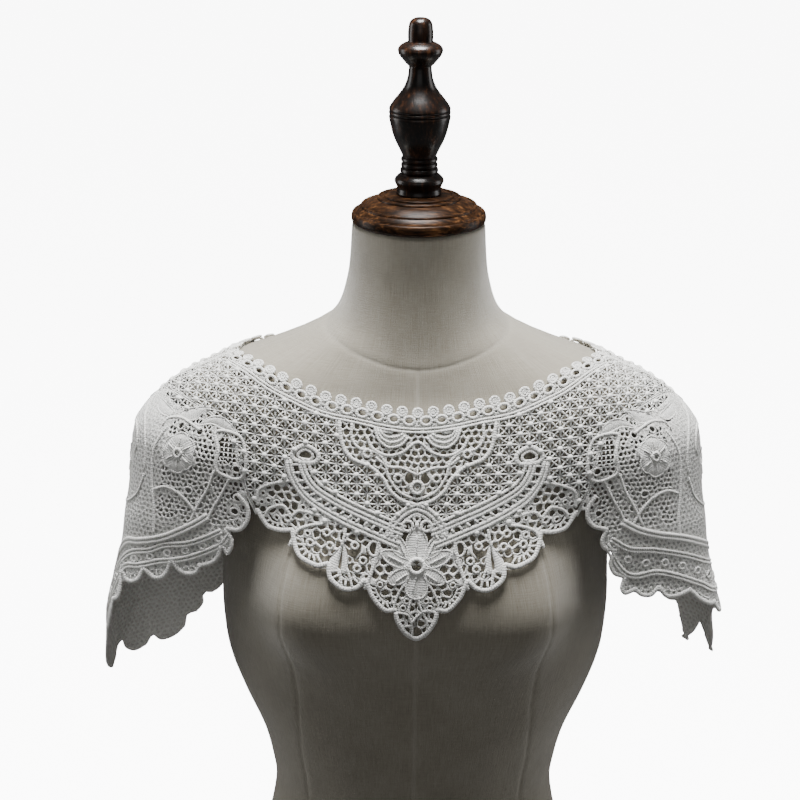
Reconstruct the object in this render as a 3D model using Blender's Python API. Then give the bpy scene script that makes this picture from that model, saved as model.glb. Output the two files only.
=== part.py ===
# Lace collar on a limbless dress form with a turned wooden neck cap and finial.
# The form's front faces -Y, its base is flat on z = 0. Sizes are in millimetres.
import math

import bpy
import numpy as np
from mathutils.geometry import delaunay_2d_cdt

MM = 0.001

# ------------------------------------------------------------------ dress form
NECK_TOP = 693.5
FORM_COLUMNS = 36
# height, half width, depth in front, depth behind, squareness of the section
FORM_SECTIONS = (
    (0.0, 166.0, 104.0, 114.0, 2.3),
    (60.0, 160.0, 101.0, 111.0, 2.3),
    (120.0, 138.0, 90.0, 95.0, 2.2),
    (165.0, 125.0, 83.0, 81.0, 2.1),
    (190.0, 122.0, 82.0, 77.0, 2.1),
    (215.0, 125.5, 84.0, 77.0, 2.1),
    (239.0, 131.0, 88.0, 79.0, 2.1),
    (287.0, 150.0, 96.0, 86.0, 2.1),
    (310.0, 158.0, 100.0, 90.0, 2.1),
    (334.0, 163.0, 104.0, 94.0, 2.1),
    (369.0, 165.0, 108.0, 98.0, 2.1),
    (397.0, 164.0, 109.0, 101.0, 2.1),
    (430.0, 163.0, 109.0, 104.0, 2.1),
    (460.0, 165.0, 106.0, 106.0, 2.1),
    (491.0, 174.0, 101.0, 106.0, 2.1),
    (516.0, 186.0, 95.0, 103.0, 2.1),
    (534.0, 193.0, 89.0, 99.0, 2.1),
    (546.0, 194.0, 85.0, 96.0, 2.1),
    (555.0, 190.0, 81.0, 93.0, 2.1),
    (562.0, 183.0, 77.5, 90.0, 2.1),
    (569.0, 172.0, 74.0, 87.0, 2.1),
    (577.0, 156.0, 71.0, 84.0, 2.1),
    (586.0, 131.0, 67.5, 80.0, 2.05),
    (597.0, 103.0, 64.0, 75.0, 2.0),
    (607.0, 83.0, 61.5, 70.0, 2.0),
    (617.0, 69.5, 59.5, 65.0, 2.0),
    (628.0, 63.0, 57.5, 61.0, 2.0),
    (638.0, 59.7, 56.0, 58.5, 2.0),
    (658.0, 55.7, 54.0, 55.5, 2.0),
    (NECK_TOP, 53.3, 53.0, 53.3, 2.0),
)
# azimuth, angular width, lift, height, reach up, reach down
BUST_FORMS = (
    (-38.0, 19.0, 30.0, 392.0, 62.0, 46.0),
    (0.0, 20.0, 13.0, 392.0, 62.0, 46.0),
    (38.0, 19.0, 30.0, 392.0, 62.0, 46.0),
)

# ------------------------------------------------------------------ turned wood
SEAT = 0.3
TURN_SEGMENTS = 18
# radius, height of each turned step of the neck cap, from its underside up
CAP_TURNING = (
    (0.0, 0.0), (51.6, 0.0), (53.4, 0.8), (54.0, 4.0), (53.7, 7.4), (52.6, 8.4), (51.4, 8.0),
    (50.2, 9.4), (45.0, 13.6), (43.9, 13.4), (42.8, 14.8), (31.0, 20.0), (29.9, 19.7), (28.8, 20.9),
    (21.5, 22.4), (0.0, 22.5),
)
# radius, height of each turned step of the finial, from its foot up
FINIAL_TURNING = (
    (0.0, 0.0), (18.4, 0.0), (18.9, 3.8), (19.4, 8.0), (19.5, 11.8), (16.8, 15.2), (14.2, 16.8),
    (15.1, 19.0), (13.5, 21.4), (14.6, 23.2), (13.3, 25.8), (14.7, 27.8), (13.4, 29.8), (15.4, 34.6),
    (19.4, 42.6), (22.1, 50.6), (23.8, 58.6), (24.4, 61.8), (23.3, 63.4), (24.4, 65.0), (23.5, 66.5),
    (24.2, 68.2), (22.5, 71.4), (20.3, 74.4), (15.6, 80.6), (12.4, 85.4), (10.5, 90.0), (9.4, 94.6),
    (9.0, 100.8), (9.8, 102.2), (13.1, 105.4), (16.9, 110.0), (17.6, 113.6), (15.8, 116.8),
    (12.0, 119.1), (9.9, 119.9), (9.9, 123.6), (9.7, 128.0), (9.2, 132.6), (8.2, 134.8), (6.0, 137.0),
    (0.0, 138.4),
)

# ------------------------------------------------------------------ lace cloth
WALL = 1.4
SEAM = 0.45
BLEND = 5.0
# height, space under the cloth: it rests on the shoulders and stands off the bust
REST_ROWS = np.array(((300.0, 2.4), (470.0, 2.2), (545.0, 2.2), (700.0, 2.2)))
# height, half width, depth in front, depth behind, squareness of the hanging cloth
DRAPE_SECTIONS = (
    (300.0, 266.0, 92.0, 94.0, 2.4),
    (340.0, 263.0, 92.0, 94.0, 2.4),
    (357.0, 262.0, 92.0, 94.0, 2.4),
    (380.0, 257.0, 91.0, 94.0, 2.4),
    (402.0, 251.0, 90.0, 93.0, 2.4),
    (425.0, 246.0, 89.0, 93.0, 2.4),
    (447.0, 243.5, 88.0, 92.0, 2.4),
    (469.0, 240.0, 87.0, 92.0, 2.35),
    (491.0, 238.0, 86.0, 91.0, 2.3),
    (513.0, 235.5, 84.0, 89.0, 2.3),
    (523.0, 233.5, 82.0, 87.0, 2.25),
    (534.0, 227.0, 78.0, 84.0, 2.2),
    (545.0, 216.5, 73.0, 79.0, 2.1),
    (555.0, 205.0, 67.0, 72.0, 2.1),
    (566.0, 187.0, 60.0, 64.0, 2.0),
    (577.0, 150.0, 50.0, 56.0, 2.0),
    (590.0, 100.0, 40.0, 46.0, 2.0),
    (640.0, 40.0, 30.0, 30.0, 2.0),
    (700.0, 30.0, 20.0, 20.0, 2.0),
)
# azimuth, angular width, depth of each hanging fold; they die out up the shoulder
FOLDS = (
    (-124.0, 9.0, 4.0), (-99.0, 9.0, -4.0), (-81.0, 6.5, 6.0), (-67.0, 8.0, -4.0),
    (65.0, 8.0, -4.0), (79.0, 7.0, 6.0), (97.0, 9.0, -5.0), (121.0, 8.0, 4.0),
)
FOLD_TOP = 545.0
FOLD_FULL = 405.0

# Pattern places on the yoke are (across, up): across is the distance from the centre line,
# up is measured over the cloth from the level YOKE_ZERO.
YOKE_ZERO = 470.0
YOKE_CENTRE = 430.0
# Pattern places on a shoulder point are (around, up): around runs from the outermost line of
# the arm side, minus to the front and plus to the back, at the level HANG_ZERO.
HANG_ZERO = 450.0
HANG_AXIS = 130.0


def blend_rows(x, rows, column):
    """Smooth monotone curve through one column of a table."""
    xs = rows[:, 0]
    ys = rows[:, column]
    h = np.diff(xs)
    d = np.diff(ys) / h
    m = np.zeros(len(ys))
    m[0] = d[0]
    m[-1] = d[-1]
    for i in range(1, len(xs) - 1):
        if d[i - 1] * d[i] > 0:
            w1 = 2 * h[i] + h[i - 1]
            w2 = h[i] + 2 * h[i - 1]
            m[i] = (w1 + w2) / (w1 / d[i - 1] + w2 / d[i])
    x = np.clip(x, xs[0], xs[-1])
    i = np.clip(np.searchsorted(xs, x) - 1, 0, len(xs) - 2)
    t = (x - xs[i]) / h[i]
    a = (1 + 2 * t) * (1 - t) ** 2 * ys[i] + t * (1 - t) ** 2 * h[i] * m[i]
    b = t * t * (3 - 2 * t) * ys[i + 1] + t * t * (t - 1) * h[i] * m[i + 1]
    return a + b


def section_radius(azimuth, height, rows):
    half, front, back, square = (blend_rows(height, rows, k) for k in (1, 2, 3, 4))
    across = np.abs(np.sin(azimuth))
    along = np.cos(azimuth)
    depth = np.where(along > 0, front, back)
    return ((across / half) ** square + (np.abs(along) / depth) ** square) ** (-1 / square)


FORM_ROWS = np.array(FORM_SECTIONS)
DRAPE_ROWS = np.array(DRAPE_SECTIONS)


def form_radius(azimuth, height):
    r = section_radius(azimuth, height, FORM_ROWS)
    for turn, width, lift, level, above, below in BUST_FORMS:
        rise = height - level
        reach = np.where(rise > 0, above, below)
        d = (np.degrees(azimuth) - turn + 180) % 360 - 180
        r = r + lift * np.exp(-(d / width) ** 2 - (rise / reach) ** 2)
    return r


def cloth_radius(azimuth, height):
    """Middle of the cloth: it lies on the form, or hangs free of it at the arm sides."""
    space = np.interp(height, REST_ROWS[:, 0], REST_ROWS[:, 1])
    lying = form_radius(azimuth, height)
    slope = (form_radius(azimuth, height + 1.0) - form_radius(azimuth, height - 1.0)) / 2.0
    lying = lying + (space + WALL / 2) * np.sqrt(1.0 + slope * slope)
    hanging = section_radius(azimuth, height, DRAPE_ROWS)
    grow = np.clip((FOLD_TOP - height) / (FOLD_TOP - FOLD_FULL), 0, 1)
    grow = grow * grow * (3 - 2 * grow)
    for turn, width, depth in FOLDS:
        hanging = hanging + grow * depth * np.exp(-((np.degrees(azimuth) - turn) / width) ** 2)
    return np.maximum(lying, hanging) + BLEND * np.log1p(np.exp(-np.abs(lying - hanging) / BLEND))


def outside(p):
    azimuth = np.arctan2(p[..., 0], -p[..., 1])
    return np.hypot(p[..., 0], p[..., 1]) - cloth_radius(azimuth, p[..., 2])


def cloth_point(centre, aim):
    """Where a ray from a point within the form meets the cloth."""
    near = np.full(aim.shape[:-1], 1.0)
    far = np.full(aim.shape[:-1], 420.0)
    for _ in range(44):
        middle = (near + far) / 2
        beyond = outside(centre + aim * middle[..., None]) > 0
        far = np.where(beyond, middle, far)
        near = np.where(beyond, near, middle)
    return centre + aim * ((near + far) / 2)[..., None]


def cloth_normal(p):
    n = np.zeros(p.shape)
    for axis in range(3):
        step = np.zeros(3)
        step[axis] = 0.5
        n[..., axis] = outside(p + step) - outside(p - step)
    return n / np.linalg.norm(n, axis=-1, keepdims=True)


class Wrap:
    """Carries flat pattern places on to the cloth: one table row for each upright plane."""

    def __init__(self, columns, tilts, zero_height):
        self.columns = columns
        self.tilts = tilts
        grid = self.shoot(*np.meshgrid(columns, tilts, indexing="ij"))
        steps = np.linalg.norm(np.diff(grid, axis=1), axis=-1)
        arc = np.concatenate([np.zeros((len(columns), 1)), np.cumsum(steps, axis=1)], axis=1)
        half = len(tilts) * 2 // 3
        for i in range(len(columns)):
            arc[i] -= np.interp(zero_height, grid[i, :half, 2], arc[i, :half])
        self.arc = arc

    def row(self, place):
        spacing = self.columns[1] - self.columns[0]
        f = min(max((place - self.columns[0]) / spacing, 0.0), len(self.columns) - 1.001)
        i = int(f)
        return self.arc[i] * (1 - (f - i)) + self.arc[i + 1] * (f - i)

    def points(self, places):
        across = self.turn(np.array([p[0] for p in places], float))
        tilt = np.array([np.interp(p[1], self.row(a), self.tilts) for p, a in zip(places, across)])
        return self.shoot(across, tilt)


class YokeWrap(Wrap):
    """Upright planes that run from front to back, for the front and back pieces."""

    def __init__(self, facing):
        self.facing = facing
        super().__init__(np.arange(-246.0, 247.0, 6.0), np.radians(np.arange(-60.0, 101.0)), YOKE_ZERO)

    def turn(self, across):
        return across

    def shoot(self, across, tilt):
        centre = np.stack([across, 0 * across, 0 * across + YOKE_CENTRE], -1)
        aim = np.stack([0 * across, self.facing * np.cos(tilt), np.sin(tilt)], -1)
        return cloth_point(centre, aim)

    def ridge(self, across):
        """How far up the top of the shoulder lies."""
        return float(np.interp(math.pi / 2, self.tilts, self.row(across)))


class HangWrap(Wrap):
    """Upright planes that fan out from inside the shoulder, for a shoulder point."""

    def __init__(self, hand):
        self.hand = hand
        super().__init__(np.radians(np.arange(-125.0, 126.0, 2.5)), np.radians(np.arange(-72.0, 91.0)),
                         HANG_ZERO)
        level = self.shoot(self.columns, np.zeros(len(self.columns)))
        steps = np.linalg.norm(np.diff(level, axis=0), axis=-1)
        around = np.concatenate([[0.0], np.cumsum(steps)])
        self.around = around - np.interp(0.0, self.columns, around)

    def turn(self, around):
        return np.interp(around, self.around, self.columns)

    def shoot(self, turn, tilt):
        centre = np.stack([0 * turn + self.hand * HANG_AXIS, 0 * turn, 0 * turn + HANG_ZERO], -1)
        aim = np.stack([self.hand * np.cos(tilt) * np.cos(turn), np.cos(tilt) * np.sin(turn),
                        np.sin(tilt)], -1)
        return cloth_point(centre, aim)

    def flat(self, p):
        """Pattern places of points that lie on the cloth."""
        out = self.hand * p[:, 0] - HANG_AXIS
        turn = np.arctan2(p[:, 1], out)
        tilt = np.arctan2(p[:, 2] - HANG_ZERO, np.hypot(out, p[:, 1]))
        up = [np.interp(t, self.tilts, self.row(a)) for t, a in zip(tilt, turn)]
        return [(float(np.interp(a, self.columns, self.around)), float(b)) for a, b in zip(turn, up)]


# ------------------------------------------------------------------ pattern of the yoke
# across, up of the line through the middles of the edging's small wheels
NECKLINE = (
    (0.0, 94.5), (24.0, 96.5), (48.0, 101.2), (72.0, 105.0), (94.0, 112.0), (112.0, 119.0),
    (129.0, 130.5), (141.0, 140.3), (150.0, 150.4),
)
# the same behind, where the collar lies lower on the shoulders
NECKLINE_BACK = (
    (0.0, 88.0), (24.0, 89.5), (48.0, 92.0), (72.0, 95.5), (94.0, 100.0), (112.0, 106.0),
    (129.0, 116.0), (141.0, 127.0), (147.5, 138.0), (150.0, 150.4),
)
BACK_LOWER = 6.5
WHEELS_PER_SIDE = 13
WHEEL_RADIUS = 4.6
EYELET = (3.5, 2.5, 6.7)
# across, up of the seam with the shoulder point, from the shoulder ridge to the notch
SEAM_LINE = (
    (201.0, 98.0), (184.0, 89.0), (166.0, 80.0), (154.0, 70.0), (146.0, 57.0), (141.0, 39.0),
    (136.0, 19.0), (128.0, 2.0),
)
RIDGE_LINE = (156.0, 171.0, 186.0, 200.0, 214.0)
# across, up of each valley of the hem and the bulge of the scallop before it
HEM_VALLEYS = (
    (128.0, 2.0, 0.0), (100.0, -8.0, 6.0), (71.0, -29.0, 9.0), (40.0, -42.0, 12.0),
    (14.0, -58.0, 11.0),
)
HEM_TIP = ((13.5, -66.0), (11.0, -75.0), (7.0, -83.0), (0.0, -88.5))
RIM_RAISE = 0.9
BAND_RAISE = 1.2
PETAL_RAISE = 1.5
# across, up along the middle of the pair of satin bands that swing from shoulder to flower
SWAG_LINE = ((99.0, 58.0), (95.0, 40.0), (84.0, 25.0), (67.0, 14.0), (45.0, 5.0), (18.0, -5.0))
SWAG_SPREAD = 5.4
MEDALLION_LINE = ((56.0, 79.0), (52.0, 60.0), (38.0, 42.0), (19.0, 29.0), (5.0, 23.0))
GRID = 22.0
HEADER_DROP = 13.8
BAND_HALF = 2.7
FLOWER = (0.0, -26.0)
# direction, reach, half width of each petal of the centre flower
FLOWER_PETALS = (
    (90.0, 25.0, 5.0), (38.0, 23.0, 5.2), (0.0, 27.0, 5.0), (-45.0, 24.0, 5.2),
    (-90.0, 27.0, 5.0), (-135.0, 24.0, 5.2), (180.0, 27.0, 5.0), (142.0, 23.0, 5.2),
)
# across, up, half length, half width, direction of gaps that stand alone; mirrored ones have across > 0
LONE_GAPS = (
    (0.0, -26.0, 3.6, 3.6, 0.0), (5.6, 44.0, 4.6, 3.0, 80.0), (16.5, 43.0, 2.7, 2.7, 0.0),
    (36.0, 63.0, 2.7, 2.7, 0.0), (25.0, 60.0, 3.0, 2.3, 30.0), (10.0, 60.0, 3.2, 2.3, 0.0),
    (28.0, 47.0, 3.0, 2.3, 50.0), (8.5, 31.0, 2.8, 2.2, 40.0), (0.0, 8.0, 3.0, 2.3, 90.0),
    (0.0, -62.0, 3.2, 2.5, 90.0), (5.5, -69.0, 3.2, 2.4, 70.0), (0.0, -77.0, 3.4, 2.5, 90.0),
)
# across, up along rows of gaps between the satin bands and the scallops; count, half length, half width
BRIDE_ROWS = (
    (((113.0, 22.0), (104.0, 7.0), (86.0, -6.0), (66.0, -19.0), (44.0, -25.0)), 10, 3.2, 2.6),
)
FAN_GAPS = (2, 4, 5, 4)
FAN_DEPTH = 7.6

# ------------------------------------------------------------------ pattern of the shoulder points
# around, up of each valley of the hem from the front notch to the back notch, and the bulge before it
LEFT_HEM = (
    (-134.0, 6.0, 4.0), (-131.0, -12.0, 4.0), (-119.0, -36.0, 5.0), (-104.0, -51.0, 4.0),
    (-81.0, -46.0, 5.0), (-60.0, -50.0, 5.0), (-44.0, -60.0, 3.0), (-35.0, -80.0, 2.0),
    (-25.0, -112.0, 2.5), (-14.0, -142.0, 2.5), (6.0, -163.0, 3.0), (21.0, -150.0, 0.0),
    (50.0, -160.0, 6.0), (76.0, -140.0, 5.0), (88.0, -120.0, 4.0), (110.0, -98.0, 5.0),
    (128.0, -60.0, 5.0), (140.0, -15.0, 4.0),
)
RIGHT_HEM = (
    (-130.0, 6.0, 4.0), (-124.0, -12.0, 4.0), (-115.0, -36.0, 4.0), (-106.0, -50.0, 3.0),
    (-88.0, -48.0, 4.0), (-68.0, -55.0, 4.0), (-50.0, -66.0, 3.0), (-28.0, -84.0, 3.0),
    (-14.0, -92.0, 0.0), (-4.0, -86.0, 2.0), (9.0, -92.0, 0.0), (15.0, -112.0, 0.0), (10.0, -147.0, 0.0),
    (25.0, -128.0, 0.0), (40.0, -151.0, 0.0), (49.0, -118.0, 0.0), (60.0, -100.0, 3.0),
    (84.0, -86.0, 4.0), (108.0, -72.0, 4.0), (128.0, -46.0, 4.0), (141.0, -12.0, 4.0),
)
# around, up along each raised band that follows the hem
LEFT_BANDS = (
    ((-112.0, -3.0), (-85.0, -1.0), (-58.0, -4.0), (-30.0, -14.0), (-6.0, -60.0), (16.0, -104.0),
     (38.0, -112.0), (58.0, -98.0), (78.0, -70.0), (98.0, -30.0)),
    ((-112.0, -27.0), (-84.0, -24.0), (-58.0, -27.0), (-38.0, -38.0), (-18.0, -84.0), (8.0, -132.0),
     (36.0, -136.0), (62.0, -122.0), (88.0, -88.0), (112.0, -42.0)),
)
RIGHT_BANDS = (
    ((-112.0, -3.0), (-85.0, -3.0), (-58.0, -12.0), (-30.0, -26.0), (-5.0, -38.0), (20.0, -50.0),
     (45.0, -60.0), (66.0, -56.0), (88.0, -42.0), (108.0, -18.0)),
    ((-110.0, -27.0), (-85.0, -26.0), (-58.0, -36.0), (-34.0, -54.0), (-6.0, -64.0), (20.0, -76.0),
     (46.0, -86.0), (70.0, -74.0), (94.0, -58.0), (116.0, -32.0)),
)
LEAF_BAND = ((-132.0, 66.0), (-124.0, 84.0), (-104.0, 93.0), (-74.0, 101.0), (-38.0, 106.0))
SMALL_FLOWER = (-82.0, 64.0)
SMALL_PETALS = ((90.0, 15.0, 5.4), (18.0, 15.0, 5.4), (-54.0, 15.0, 5.4), (-126.0, 15.0, 5.4),
                (162.0, 15.0, 5.4))
SMALL_RING = (10, 20.5, 3.0, 2.4)


# ------------------------------------------------------------------ flat pattern shapes
def along(line, fractions):
    """Points and directions at fractions of a line's length."""
    line = np.array(line, float)
    steps = np.linalg.norm(np.diff(line, axis=0), axis=1)
    length = np.concatenate([[0.0], np.cumsum(steps)])
    at = np.asarray(fractions, float) * length[-1]
    p = np.stack([np.interp(at, length, line[:, k]) for k in (0, 1)], -1)
    q = np.stack([np.interp(np.minimum(at + 1.5, length[-1]), length, line[:, k]) for k in (0, 1)], -1)
    r = np.stack([np.interp(np.maximum(at - 1.5, 0.0), length, line[:, k]) for k in (0, 1)], -1)
    d = q - r
    return p, d / np.linalg.norm(d, axis=1, keepdims=True)


def offset_line(line, count, shift):
    """The line moved sideways; plus is to its left."""
    p, d = along(line, np.linspace(0, 1, count))
    return p + shift * np.stack([-d[:, 1], d[:, 0]], -1)


def oval(place, half_length, half_width, turn, count=6):
    a = math.radians(turn)
    out = []
    for k in range(count):
        t = 2 * math.pi * (k + 0.5) / count
        u = half_length * math.cos(t)
        v = half_width * math.sin(t)
        out.append((place[0] + u * math.cos(a) - v * math.sin(a), place[1] + u * math.sin(a) + v * math.cos(a)))
    return out


def chord(a, b, outward):
    """Ends, direction and outward side of the line between two valleys."""
    a = np.array(a, float)
    b = np.array(b, float)
    d = (b - a) / np.linalg.norm(b - a)
    return a, b, d, outward * np.array((d[1], -d[0]))


def scallop(a, b, bulge, outward, parts=5):
    """Points from valley a to valley b; outward is 1 to the right of the way, -1 to its left."""
    a, b, d, n = chord(a, b, outward)
    return [tuple(a + (b - a) * k / parts + n * bulge * math.sin(math.pi * k / parts) ** 0.75)
            for k in range(1, parts)]


def hem_run(start, rows, outward):
    """Outline through the valleys, each with its scallop before it, without the start point."""
    out = []
    place = start
    for u, v, bulge in rows:
        if bulge > 0:
            out += scallop(place, (u, v), bulge, outward, 5 if math.dist(place, (u, v)) > 20 else 3)
        out.append((u, v))
        place = (u, v)
    return out


def band(line, count, half=BAND_HALF, raise_=BAND_RAISE):
    """A satin band: two low edges and a raised middle."""
    return [(offset_line(line, count, half), 0.0), (offset_line(line, count, 0.0), raise_),
            (offset_line(line, count, -half), 0.0)]


def petal(centre, direction, reach, half, inner):
    a = math.radians(direction)
    along_way = np.array((math.cos(a), math.sin(a)))
    side = np.array((-along_way[1], along_way[0]))
    centre = np.array(centre)
    span = reach - inner
    edge = [centre + along_way * (inner + span * f) + side * half * w
            for f, w in ((0, 0.3), (0.5, 1), (1, 0), (0.5, -1), (0, -0.3))]
    rib = [centre + along_way * (inner + span * f) for f in (0.25, 0.72)]
    return [(np.array(edge + edge[:1]), 0.0), (np.array(rib), PETAL_RAISE)]


def mirrored(points):
    return [(-p[0], p[1]) for p in points]


def slot(place, half_length, half_width, turn):
    """A four sided gap."""
    return oval(place, half_length * 1.3, half_width * 1.3, turn, 4)


def fan(a, b, bulge, outward, count, shape=oval):
    """Gaps between the bars that fan out to a scallop's rim."""
    a, b, d, n = chord(a, b, outward)
    out = []
    for k in range(count):
        f = (k + 0.5) / count
        rim = a + (b - a) * (0.12 + 0.76 * f) + n * bulge * math.sin(math.pi * (0.12 + 0.76 * f)) ** 0.75
        lean = n + d * (f - 0.5) * 0.7
        lean = lean / np.linalg.norm(lean)
        mid = rim - lean * (2.6 + FAN_DEPTH / 2)
        out.append(shape(mid, FAN_DEPTH / 2, 2.5, math.degrees(math.atan2(lean[1], lean[0]))))
    return out


# ------------------------------------------------------------------ building a panel
def inside(point, loop):
    x, y = point
    x0, y0 = loop[:, 0], loop[:, 1]
    x1, y1 = np.roll(x0, -1), np.roll(y0, -1)
    crosses = (y0 > y) != (y1 > y)
    with np.errstate(divide="ignore", invalid="ignore"):
        at = x0 + (y - y0) * (x1 - x0) / (y1 - y0)
    return bool(np.count_nonzero(crosses & (x < at)) % 2)


def distance(points, line):
    """Least distance from any of the points to a polyline."""
    a = line[:-1][None]
    d = (line[1:] - line[:-1])[None]
    p = np.asarray(points)[:, None]
    t = np.clip(((p - a) * d).sum(-1) / np.maximum((d * d).sum(-1), 1e-9), 0, 1)
    return float(np.sqrt((((a + d * t[..., None]) - p) ** 2).sum(-1)).min())


def closed(loop):
    loop = np.array(loop, float)
    return np.concatenate([loop, loop[:1]])


def lace_panel(name, wrap, outline, rim, ridges, gaps, colour):
    """One wall of lace: outline loop with its raised rim points, raised ridges and cut gaps."""
    edge_line = closed(outline)
    loop = edge_line[:-1]
    lines = [line for line, lift in ridges]
    cut = []
    for gap in gaps:
        ring = closed(gap)
        if not inside(ring[:-1].mean(axis=0), loop) or distance(ring, edge_line) < 1.1:
            continue
        if any(distance(ring, line) < 0.5 or inside(line[0], ring[:-1]) for line in lines):
            continue
        if any(distance(ring, closed(other)) < 1.2 for other in cut):
            continue
        cut.append(gap)
    places = [tuple(p) for p in loop]
    lifts = [RIM_RAISE if r else 0.0 for r in rim]
    edges = [(k, (k + 1) % len(places)) for k in range(len(places))]
    for gap in cut:
        first = len(places)
        places += gap
        lifts += [0.0] * len(gap)
        edges += [(first + k, first + (k + 1) % len(gap)) for k in range(len(gap))]
    for line, lift in ridges:
        first = len(places)
        loops = len(line) > 3 and math.dist(line[0], line[-1]) < 1e-6
        pts = line[:-1] if loops else line
        places += [tuple(p) for p in pts]
        lifts += [lift] * len(pts)
        edges += [(first + k, first + k + 1) for k in range(len(pts) - 1)]
        if loops:
            edges.append((first + len(pts) - 1, first))
    fixed = np.array(places)
    low = loop.min(axis=0)
    high = loop.max(axis=0)
    for u in np.arange(low[0] + 9.0, high[0], GRID):
        for v in np.arange(low[1] + 9.0, high[1], GRID):
            if inside((u, v), loop) and np.linalg.norm(fixed - (u, v), axis=1).min() > 7.0:
                if not any(inside((u, v), np.array(g)) for g in cut):
                    places.append((u, v))
                    lifts.append(0.0)
    flat, _, faces, origin, _, _ = delaunay_2d_cdt([tuple(map(float, p)) for p in places], edges, [], 0, 1e-5)
    lift = [max([lifts[k] for k in o], default=0.0) for o in origin]
    holes = [np.array(g) for g in cut]
    kept = []
    for face in faces:
        middle = np.mean([flat[k][:] for k in face], axis=0)
        if inside(middle, loop) and not any(inside(middle, h) for h in holes):
            kept.append(list(face))
    used = sorted({k for face in kept for k in face})
    index = {k: n for n, k in enumerate(used)}
    kept = [[index[k] for k in face] for face in kept]
    on_cloth = wrap.points([flat[k] for k in used])
    normals = cloth_normal(on_cloth)
    raised = np.array([lift[k] for k in used])[:, None]
    outer = (on_cloth + normals * (WALL / 2 + raised)) * MM
    inner = (on_cloth - normals * (WALL / 2)) * MM
    votes = 0.0
    for a, b, c in kept[:60]:
        votes += float(np.dot(np.cross(outer[b] - outer[a], outer[c] - outer[a]), normals[a]))
    if votes < 0:
        kept = [face[::-1] for face in kept]
    count = len(used)
    border = {}
    for face in kept:
        for k in range(3):
            a, b = face[k], face[(k + 1) % 3]
            if (b, a) in border:
                del border[(b, a)]
            else:
                border[(a, b)] = True
    polygons = kept + [[count + k for k in face[::-1]] for face in kept]
    for a, b in border:
        polygons.append([b, a, count + a])
        polygons.append([b, count + a, count + b])
    obj = solid(name, np.concatenate([outer, inner]), polygons, colour, 0.85, 0.0)
    print(name, "gaps", len(cut), "triangles", len(polygons))
    return obj


# ------------------------------------------------------------------ solids
def solid(name, points, polygons, colour, roughness, coat):
    mesh = bpy.data.meshes.new(name)
    mesh.from_pydata([tuple(p) for p in points], [], polygons)
    mesh.update()
    obj = bpy.data.objects.new(name, mesh)
    bpy.context.scene.collection.objects.link(obj)
    material = bpy.data.materials.new(name + "_finish")
    material.use_nodes = True
    shader = material.node_tree.nodes["Principled BSDF"]
    shader.inputs["Base Color"].default_value = (*colour, 1.0)
    shader.inputs["Roughness"].default_value = roughness
    shader.inputs["Coat Weight"].default_value = coat
    mesh.materials.append(material)
    return obj


def shade_round(obj):
    for polygon in obj.data.polygons:
        polygon.use_smooth = True


def stacked_rings(rings):
    """Closed skin through rings of equal count, capped flat at both ends."""
    count = len(rings[0])
    points = np.concatenate(rings)
    polygons = [list(range(count))[::-1], [len(points) - count + k for k in range(count)]]
    for i in range(len(rings) - 1):
        for k in range(count):
            a = i * count + k
            b = i * count + (k + 1) % count
            polygons.append([a, b, b + count, a + count])
    return points, polygons


def form_solid():
    azimuth = np.linspace(-math.pi, math.pi, FORM_COLUMNS, endpoint=False)
    rings = []
    for row in FORM_SECTIONS:
        r = form_radius(azimuth, np.full(FORM_COLUMNS, row[0]))
        rings.append(np.stack([r * np.sin(azimuth), -r * np.cos(azimuth), np.full(FORM_COLUMNS, row[0])], -1))
    points, polygons = stacked_rings(rings)
    obj = solid("form_body", points * MM, polygons, (0.52, 0.47, 0.40), 0.9, 0.0)
    shade_round(obj)


def turned_solid(name, foot, turning, colour):
    """Revolve a turning; its first and last steps lie on the axis and close it."""
    angles = np.linspace(0, 2 * math.pi, TURN_SEGMENTS, endpoint=False)
    points = [np.array([(0.0, 0.0, foot + turning[0][1])])]
    for radius, height in turning[1:-1]:
        points.append(np.stack([radius * np.cos(angles), radius * np.sin(angles),
                                np.full(TURN_SEGMENTS, foot + height)], -1))
    points.append(np.array([(0.0, 0.0, foot + turning[-1][1])]))
    polygons = []
    steps = len(turning) - 2
    top = 1 + steps * TURN_SEGMENTS
    for k in range(TURN_SEGMENTS):
        n = (k + 1) % TURN_SEGMENTS
        polygons.append([0, 1 + n, 1 + k])
        for i in range(steps - 1):
            a = 1 + i * TURN_SEGMENTS
            polygons.append([a + k, a + n, a + TURN_SEGMENTS + n, a + TURN_SEGMENTS + k])
        a = top - TURN_SEGMENTS
        polygons.append([a + k, a + n, top])
    obj = solid(name, np.concatenate(points) * MM, polygons, colour, 0.3, 0.6)
    shade_round(obj)


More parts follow.
